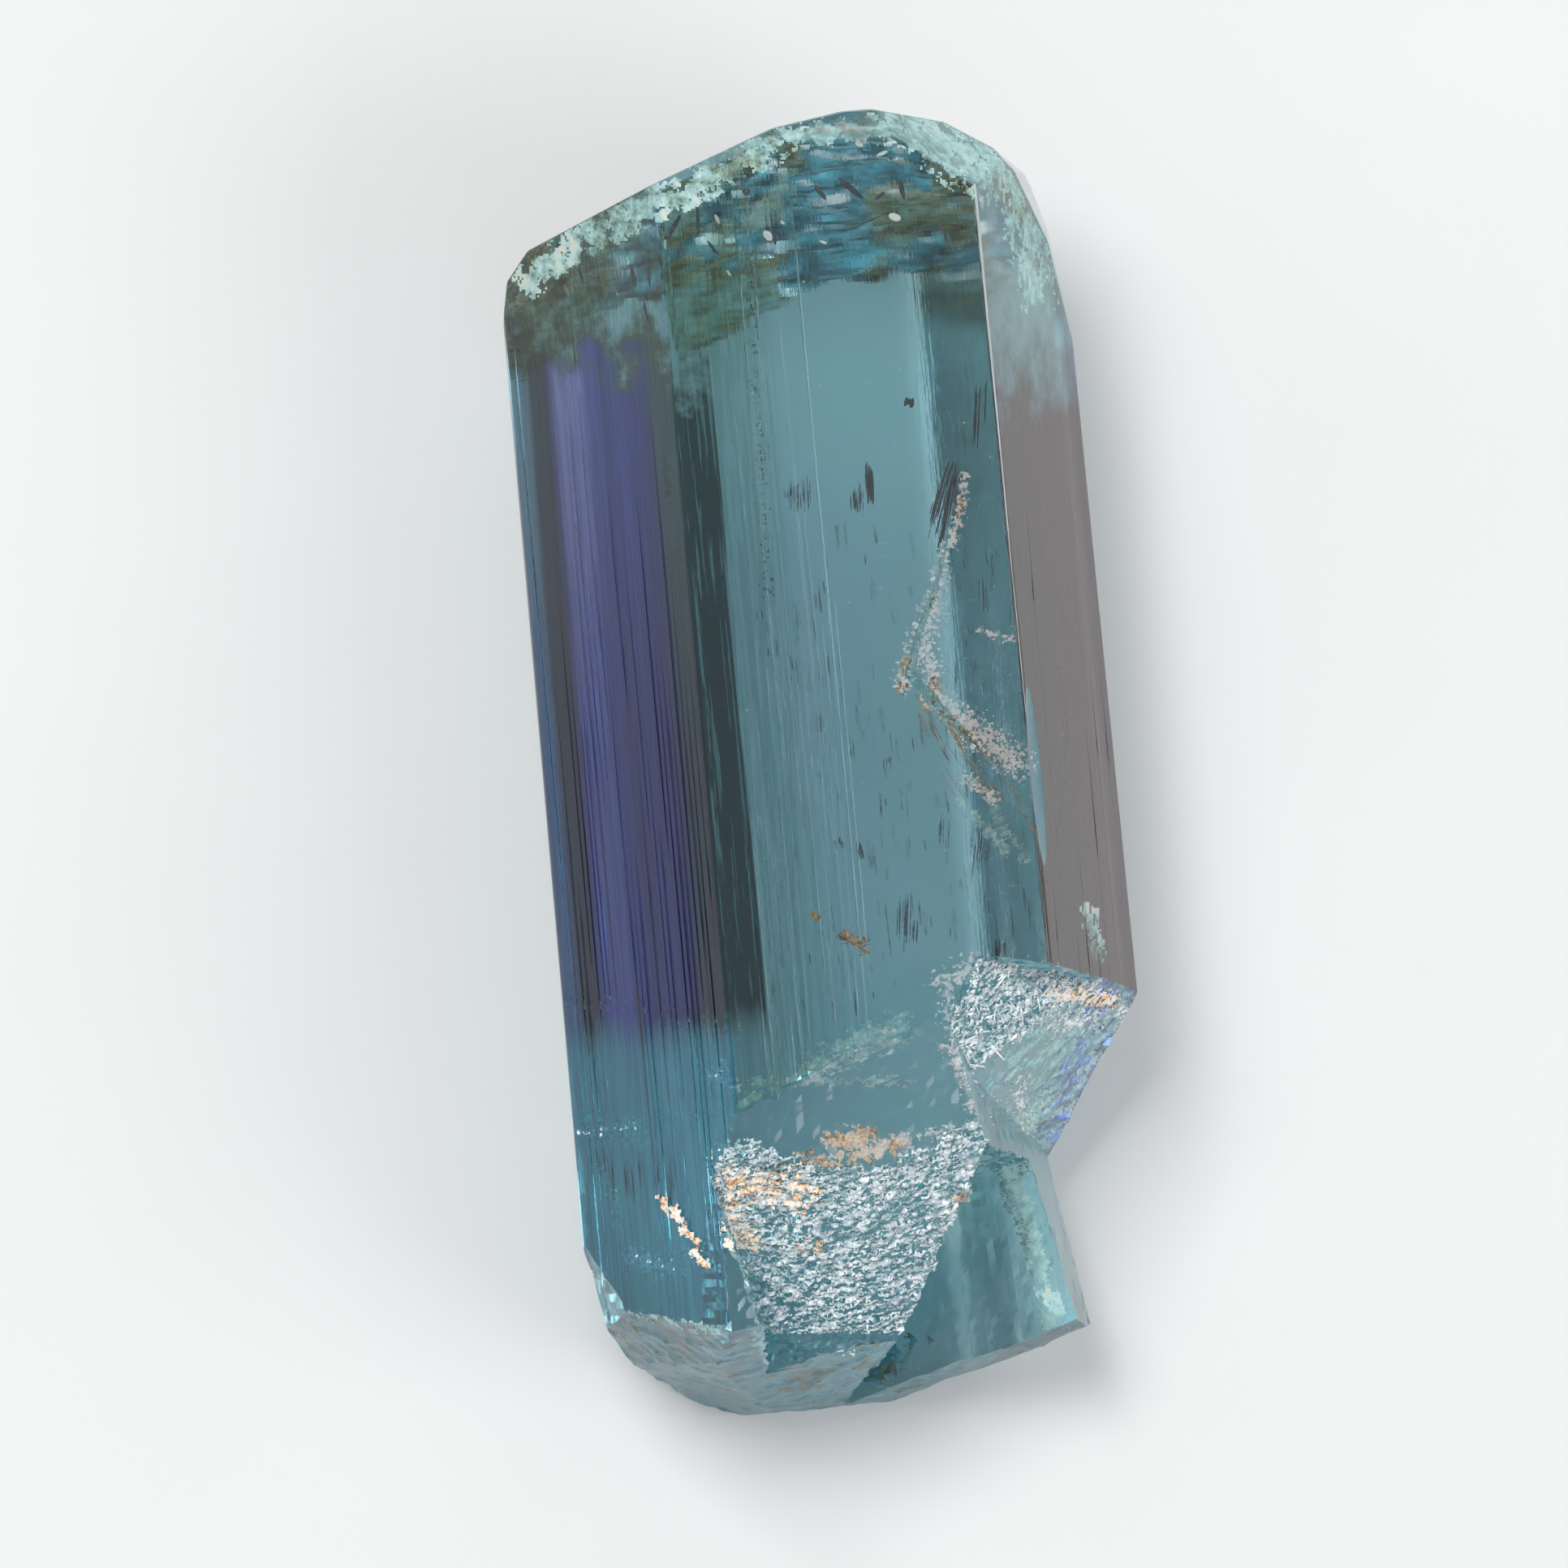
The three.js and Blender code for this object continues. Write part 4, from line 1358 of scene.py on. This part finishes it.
CROWN_TINTS = [
    (0.36, (0.1, 0.1, 0.04)),
    (0.46, (0.3, 0.42, 0.28)),
    (0.54, (0.6, 0.85, 0.75)),
    (0.62, (1.0, 1.0, 1.0)),
]
TOP_LOW_TINT = (0.42, 0.82, 0.92)
TOP_RIGHT_TINT = (0.84, 0.74, 0.7)
LEFT_LINES = (0.6, 0.6, 0.75)
RIGHT_PAINTED_REFLECTION_TINT = (0.12, 0.014, 0.01)
BREAK_TINT = (0.48, 0.76, 0.78)
BASE_TINT = (0.28, 0.62, 0.72)
TOP_TINT = (0.95, 1.0, 1.0)
TOP_EDGE_PAINTED_SHADE = (0.008, 0.02, 0.02)
TOP_EDGE_PAINTED_SHADE_LINES = (0.1, 0.25, 0.22)
TOP_GREEN_TINT = (0.41, 0.623, 0.541)
TOP_GREEN_LINE_TINT = (0.697, 0.82, 0.754)
LEFT_EDGE_OF_TOP = 3.08
DARK_WIDTH = 0.55
GREEN_WIDTH = 2.2
KIND_ROUGHNESS = [0.02, 0.12, 0.25, 0.3]
CROWN_FROM = (8.0, 9.0)
OLIVE_FRINGE = (8.6, 10.2)
VIOLET_ENDS = (-5.8, -4.8)
VIOLET_STRENGTHENS = (0.0, 8.5)
TOP_DARKENS = (-4.0, -7.0)
RIGHT_OF_TOP = (-1.9, -2.4)
RIGHT_FADES = (9.8, 6.4)
BASE_AT = (-9.8, -10.8)
LEFT_OF_LEG = (-2.6, -2.0)
LINES_AT = (0.46, 0.56)
BRIGHT_LINES_AT = (0.55, 0.62)
print("bands on the left face:", len(LEFT_PAINTED_LIGHT_BANDS))

# %% [markdown]
# A ramp turns a number into a colour, and blends and products of colours do the rest. Each of the
# faces gets a function of its own that says how its tint changes from place to place.

# %% Colours of the left and the top face


def ramp(tree, value, stops):
    """A colour ramp through these stops."""
    made = add_node(tree, "ShaderNodeValToRGB", Fac=value)
    elements = made.color_ramp.elements
    while len(elements) < len(stops):
        elements.new(0.5)
    for element, (at, colour) in zip(elements, stops):
        element.position = at
        element.color = (*colour, 1)
    return made.outputs["Color"]


def blend(tree, factor, first, second):
    """Mixes two colours."""
    made = add_node(tree, "ShaderNodeMix", {"data_type": "RGBA"}, Factor=factor)
    for socket, value in ((made.inputs[6], first), (made.inputs[7], second)):
        if isinstance(value, bpy.types.NodeSocket):
            tree.links.new(value, socket)
        else:
            socket.default_value = (*value, 1)
    return made.outputs[2]


def multiplied(tree, first, second):
    """The product of two colours, the second one plain."""
    made = add_node(tree, "ShaderNodeMix", {"data_type": "RGBA", "blend_type": "MULTIPLY"}, Factor=1.0)
    tree.links.new(first, made.inputs[6])
    made.inputs[7].default_value = (*second, 1)
    return made.outputs[2]


def left_face_tint(tree, places, wobble, low_end, crown, into_crown, lines):
    """Painted light: violet bands of painted reflection with painted shade and a painted highlight at the
    edge; clear blue at the low end and a mottled crown with an olive fringe.
    """
    left_at = spread(tree, maths(tree, "ADD", places["Left Across"], wobble), *LEFT_SPAN)
    bands = ramp(tree, left_at, LEFT_PAINTED_LIGHT_BANDS)
    strong = step_between(tree, places["Along"], *VIOLET_STRENGTHENS)
    faded = blend(tree, strong, multiplied(tree, bands, LEFT_FADED), bands)
    tint = blend(tree, low_end, LEFT_LOW_TINT, faded)
    mottled = ramp(tree, places["Mottle"], CROWN_TINTS)
    crown_tint = blend(tree, step_between(tree, into_crown, *OLIVE_FRINGE), MOTTLE_OLIVE, mottled)
    tint = blend(tree, crown, tint, crown_tint)
    return blend(tree, lines, tint, multiplied(tree, tint, LEFT_LINES))


def top_face_tint(tree, places, wobble, low_end, crown, lines):
    """Clear, green with fine lines near the left edge, and a painted shade band along that edge."""
    from_edge = maths(tree, "SUBTRACT", LEFT_EDGE_OF_TOP, places["Top Across"])
    wide = maths(tree, "ADD", from_edge, maths(tree, "MULTIPLY", wobble, 6.0))
    green = step_between(tree, wide, GREEN_WIDTH, GREEN_WIDTH - 1.0)
    green_tint = blend(tree, lines, TOP_GREEN_TINT, TOP_GREEN_LINE_TINT)
    to_right = step_between(tree, places["Top Across"], *RIGHT_OF_TOP)
    plain = blend(tree, to_right, TOP_TINT, TOP_RIGHT_TINT)
    low_on_top = step_between(tree, places["Along"], *TOP_DARKENS)
    tint = blend(tree, green, blend(tree, low_on_top, plain, TOP_LOW_TINT), green_tint)
    # Painted shade: a near-black band along the top face's left edge, with paler lines in it.
    dark = step_between(tree, maths(tree, "ADD", from_edge, wobble), DARK_WIDTH + 0.05, DARK_WIDTH)
    between_ends = maths(tree, "MULTIPLY", low_end, maths(tree, "SUBTRACT", 1.0, crown))
    bright_lines = step_between(tree, places["Fine Streaks"], *BRIGHT_LINES_AT)
    painted_shade_tint = blend(tree, bright_lines, TOP_EDGE_PAINTED_SHADE, TOP_EDGE_PAINTED_SHADE_LINES)
    return blend(tree, maths(tree, "MULTIPLY", dark, between_ends), tint, painted_shade_tint)


# %% [markdown]
# The whole tint is the sum of the faces' tints. It goes to Base Color, which colours the light that
# passes a surface, and the kind of surface chooses the roughness.

# %% The crystal's material
def beryl_material():
    """Clear beryl, tinted by face and rough where it is broken."""
    material = bpy.data.materials.new("clear beryl")
    material.use_nodes = True
    tree = material.node_tree
    tree.nodes.clear()
    places = add_node(tree, "ShaderNodeGroup", {"node_tree": prism_places}).outputs
    along = places["Along"]
    wobble = maths(tree, "MULTIPLY", maths(tree, "SUBTRACT", places["Streaks"], 0.5), 0.35)
    wobbly_end = maths(tree, "ADD", along, maths(tree, "MULTIPLY", wobble, 3.0))
    low_end = step_between(tree, wobbly_end, *VIOLET_ENDS)
    uneven = maths(tree, "MULTIPLY", maths(tree, "SUBTRACT", places["Mottle"], 0.5), 4.0)
    slanting = maths(tree, "MULTIPLY", places["Left Across"], -0.15)
    into_crown = maths(tree, "ADD", maths(tree, "ADD", along, slanting), uneven)
    crown = step_between(tree, into_crown, *CROWN_FROM)
    lines = step_between(tree, places["Fine Streaks"], *LINES_AT)
    left_tint = left_face_tint(tree, places, wobble, low_end, crown, into_crown, lines)
    top_tint = top_face_tint(tree, places, wobble, low_end, crown, lines)

    tint = blend(tree, places["Left Mask"], (1, 1, 1), left_tint)
    tint = blend(tree, places["Top Mask"], tint, top_tint)
    # Painted reflection: a warm grey on the right face, fading out towards the grown end.
    right_top = step_between(tree, maths(tree, "ADD", along, uneven), *RIGHT_FADES)
    tint = blend(tree, maths(tree, "MULTIPLY", places["Right Mask"], right_top), tint, RIGHT_PAINTED_REFLECTION_TINT)
    kind = add_node(tree, "ShaderNodeAttribute", {"attribute_name": "surface"}).outputs["Fac"]
    smooth_face = maths(tree, "LESS_THAN", kind, 0.5)
    left_of_leg = step_between(tree, places["Top Across"], *LEFT_OF_LEG)
    at_base = maths(tree, "MULTIPLY", step_between(tree, along, *BASE_AT), left_of_leg)
    break_tint = blend(tree, at_base, BREAK_TINT, BASE_TINT)
    rough_tint = blend(tree, maths(tree, "GREATER_THAN", kind, 1.5), (1, 1, 1), break_tint)
    tint = blend(tree, smooth_face, rough_tint, tint)

    kind_share = maths(tree, "DIVIDE", kind, 3.0)
    roughness = ramp(tree, kind_share, [(i / 3, (value,) * 3) for i, value in enumerate(KIND_ROUGHNESS)])
    line_height = maths(tree, "MULTIPLY", places["Fine Streaks"], smooth_face)
    bump = {"Height": line_height, "Distance": 0.00001, "Strength": 0.5}
    line_bump = add_node(tree, "ShaderNodeBump", **bump).outputs[0]
    shader = add_node(
        tree,
        "ShaderNodeBsdfPrincipled",
        Base_Color=tint,
        Metallic=0.0,
        Roughness=roughness,
        IOR=BERYL_IOR,
        Transmission_Weight=1.0,
        Normal=line_bump,
    )
    absorbed = {"Color": ABSORPTION_COLOUR, "Density": ABSORPTION_DENSITY}
    volume = add_node(tree, "ShaderNodeVolumeAbsorption", **absorbed)
    output = tree.nodes.new("ShaderNodeOutputMaterial")
    tree.links.new(shader.outputs[0], output.inputs["Surface"])
    tree.links.new(volume.outputs[0], output.inputs["Volume"])
    return material


def dress(piece, material):
    """Gives a piece one material."""
    piece.data.materials.clear()
    piece.data.materials.append(material)


dress(crystal, beryl_material())
print("nodes in clear beryl:", len(crystal.active_material.node_tree.nodes))

# %% [markdown]
# ## The finishes of films, crumbs and inclusions
# They are all grains of one colour that varies from grain to grain, so one function makes them: a
# noise picks between two or three colours, and a fine bump breaks up the light.

# %% Grainy finishes
def grainy(name, stops, grain, roughness, bump, veil=None):
    """A finish whose colour changes from grain to grain, the grain size in millimetres."""
    material = bpy.data.materials.new(name)
    material.use_nodes = True
    tree = material.node_tree
    tree.nodes.clear()
    coordinates = tree.nodes.new("ShaderNodeTexCoord").outputs["Object"]
    noise = noise_at(tree, coordinates, 1 / (grain * MM), 4.0, 0.7)
    broad = noise_at(tree, coordinates, 0.2 / (grain * MM), 2.0)
    share = maths(tree, "ADD", maths(tree, "MULTIPLY", noise, 0.6), maths(tree, "MULTIPLY", broad, 0.4))
    colour = ramp(tree, spread(tree, share, *NOISE_SPAN), stops)
    bumps = {"Height": noise, "Distance": 0.3 * grain * MM, "Strength": bump}
    normal = add_node(tree, "ShaderNodeBump", **bumps).outputs[0]
    rough = spread(tree, noise, 0.0, 1.0, roughness * 0.6, min(roughness * 1.4, 1.0))
    shader = add_node(tree, "ShaderNodeBsdfPrincipled", Base_Color=colour, Roughness=rough, Normal=normal)
    if veil:
        tree.links.new(spread(tree, share, *NOISE_SPAN, *veil), shader.inputs["Alpha"])
    output = tree.nodes.new("ShaderNodeOutputMaterial")
    tree.links.new(shader.outputs[0], output.inputs["Surface"])
    return material


NOISE_SPAN = (0.35, 0.65)
# Painted glitter: the near-white grains are painted highlights and the dark blue-grey grains are painted
# shade, over the frost's own pale colour.
SILVER_AND_PAINTED_GLITTER = [
    (0.0, (0.16, 0.26, 0.3)),
    (0.35, (0.4, 0.5, 0.53)),
    (0.65, (0.78, 0.83, 0.84)),
    (1.0, (0.98, 0.98, 0.97)),
]
WHITE = [
    (0.0, (0.4, 0.5, 0.53)),
    (0.45, (0.85, 0.88, 0.88)),
    (1.0, (0.97, 0.95, 0.92)),
]
RUST_COLOURS = [
    (0.0, (0.2, 0.07, 0.02)),
    (0.2, (0.6, 0.28, 0.1)),
    (0.38, (0.88, 0.64, 0.42)),
    (0.6, (0.95, 0.86, 0.76)),
    (1.0, (0.97, 0.93, 0.88)),
]
BROWN = [
    (0.0, (0.07, 0.03, 0.01)),
    (0.4, (0.3, 0.16, 0.05)),
    (0.7, (0.55, 0.36, 0.14)),
    (1.0, (0.8, 0.62, 0.36)),
]
OLIVE = [
    (0.0, (0.03, 0.03, 0.02)),
    (0.25, (0.22, 0.17, 0.06)),
    (0.5, (0.6, 0.48, 0.24)),
    (0.7, (0.62, 0.8, 0.66)),
    (1.0, (1.0, 1.0, 0.92)),
]
PALE_OLIVE = [
    (0.0, (0.08, 0.06, 0.03)),
    (0.35, (0.5, 0.38, 0.2)),
    (0.5, (0.25, 0.55, 0.62)),
    (0.8, (0.4, 0.72, 0.82)),
    (1.0, (0.95, 0.86, 0.66)),
]
DARK = [
    (0.0, (0.01, 0.015, 0.02)),
    (1.0, (0.05, 0.07, 0.08)),
]
MILKY = [
    (0.0, (0.16, 0.2, 0.12)),
    (0.25, (0.35, 0.42, 0.3)),
    (0.5, (0.5, 0.8, 0.76)),
    (0.8, (0.7, 0.92, 0.9)),
    (1.0, (0.9, 0.78, 0.6)),
]
silver = grainy("silver frost", SILVER_AND_PAINTED_GLITTER, 0.07, 0.3, 1.0)
white = grainy("white bloom", WHITE, 0.08, 0.4, 0.8)
orange = grainy("rust", RUST_COLOURS, 0.07, 0.8, 0.8)
brown = grainy("brown rust", BROWN, 0.07, 0.8, 0.8)
olive = grainy("olive crust", OLIVE, 0.3, 0.7, 0.5)
dark = grainy("growth tubes", DARK, 0.2, 0.4, 0.3)
# This finish is milky etched stone on the worn corner and a painted highlight on the rims.
milky = grainy("milky skin", MILKY, 0.25, 0.4, 0.2, veil=(0.05, 0.5))
pale_olive = grainy("pale olive crust", PALE_OLIVE, 0.2, 0.6, 0.4)
faint = grainy("faint veil", MILKY, 0.1, 0.4, 0.2, veil=(0.05, 0.5))
for piece, finish in (
    (frost, silver),
    (splinters, white),
    (break_crumbs, silver),
    (bloom, white),
    (bloom_crumbs, white),
    (crack_film, white),
    (crack_crumbs, white),
    (specks, white),
    (skin, milky),
    (veils, faint),
    (rust, orange),
    (inner_rust, orange),
    (crack_rust, brown),
    (feathers, brown),
    (crust, olive),
    (base_crust, pale_olive),
    (needles, dark),
):
    dress(piece, finish)
print("materials:", sorted(material.name for material in bpy.data.materials))

# %% [markdown]
# ## Floor and light
# A plain pale floor, a soft grey sky and two large soft lights. The key light is stronger than the
# sky, because only light from one side makes the grains of a break glitter.

# %% Floor and light
FLOOR_GREYS = ((0.66, 0.66, 0.65), (0.74, 0.74, 0.73))
SKY = (0.93, 0.96, 1.0, 1)
SKY_STRENGTH = 0.6
bpy.ops.mesh.primitive_plane_add(size=3.0, location=(0, 0, -0.00002))
floor = bpy.context.object
floor.name = "floor"
floor_material = bpy.data.materials.new("pale floor")
floor_material.use_nodes = True
floor_tree = floor_material.node_tree
floor_place = floor_tree.nodes.new("ShaderNodeTexCoord").outputs["Object"]
floor_noise = noise_at(floor_tree, floor_place, 60.0, 6.0)
floor_shader = floor_tree.nodes["Principled BSDF"]
floor_colour = blend(floor_tree, floor_noise, *FLOOR_GREYS)
floor_tree.links.new(floor_colour, floor_shader.inputs["Base Color"])
floor_rough = spread(floor_tree, floor_noise, 0.0, 1.0, 0.7, 0.9)
floor_tree.links.new(floor_rough, floor_shader.inputs["Roughness"])
floor.data.materials.append(floor_material)

world = bpy.data.worlds.new("soft light")
world.use_nodes = True
sky = world.node_tree.nodes["Background"].inputs
sky["Color"].default_value = SKY
sky["Strength"].default_value = SKY_STRENGTH
bpy.context.scene.world = world


def softbox(name, place, size, power):
    """A large square light that looks at the crystal."""
    bpy.ops.object.light_add(type="AREA", location=place)
    light = bpy.context.object
    light.name = name
    light.data.size = size
    light.data.energy = power
    light.rotation_euler = (-Vector(place)).to_track_quat("-Z", "Y").to_euler()
    light.visible_camera = False
    return light


softbox("key light", (-0.2, 0.2, 0.5), 0.2, 2.2)
softbox("fill light", (0.35, -0.15, 0.4), 0.3, 0.8)

scene = bpy.context.scene
scene.view_settings.view_transform = "Standard"
scene.cycles.max_bounces = 8
scene.cycles.transmission_bounces = 8
scene.cycles.glossy_bounces = 4
scene.cycles.diffuse_bounces = 2
scene.cycles.transparent_max_bounces = 8
scene.cycles.sample_clamp_indirect = 6
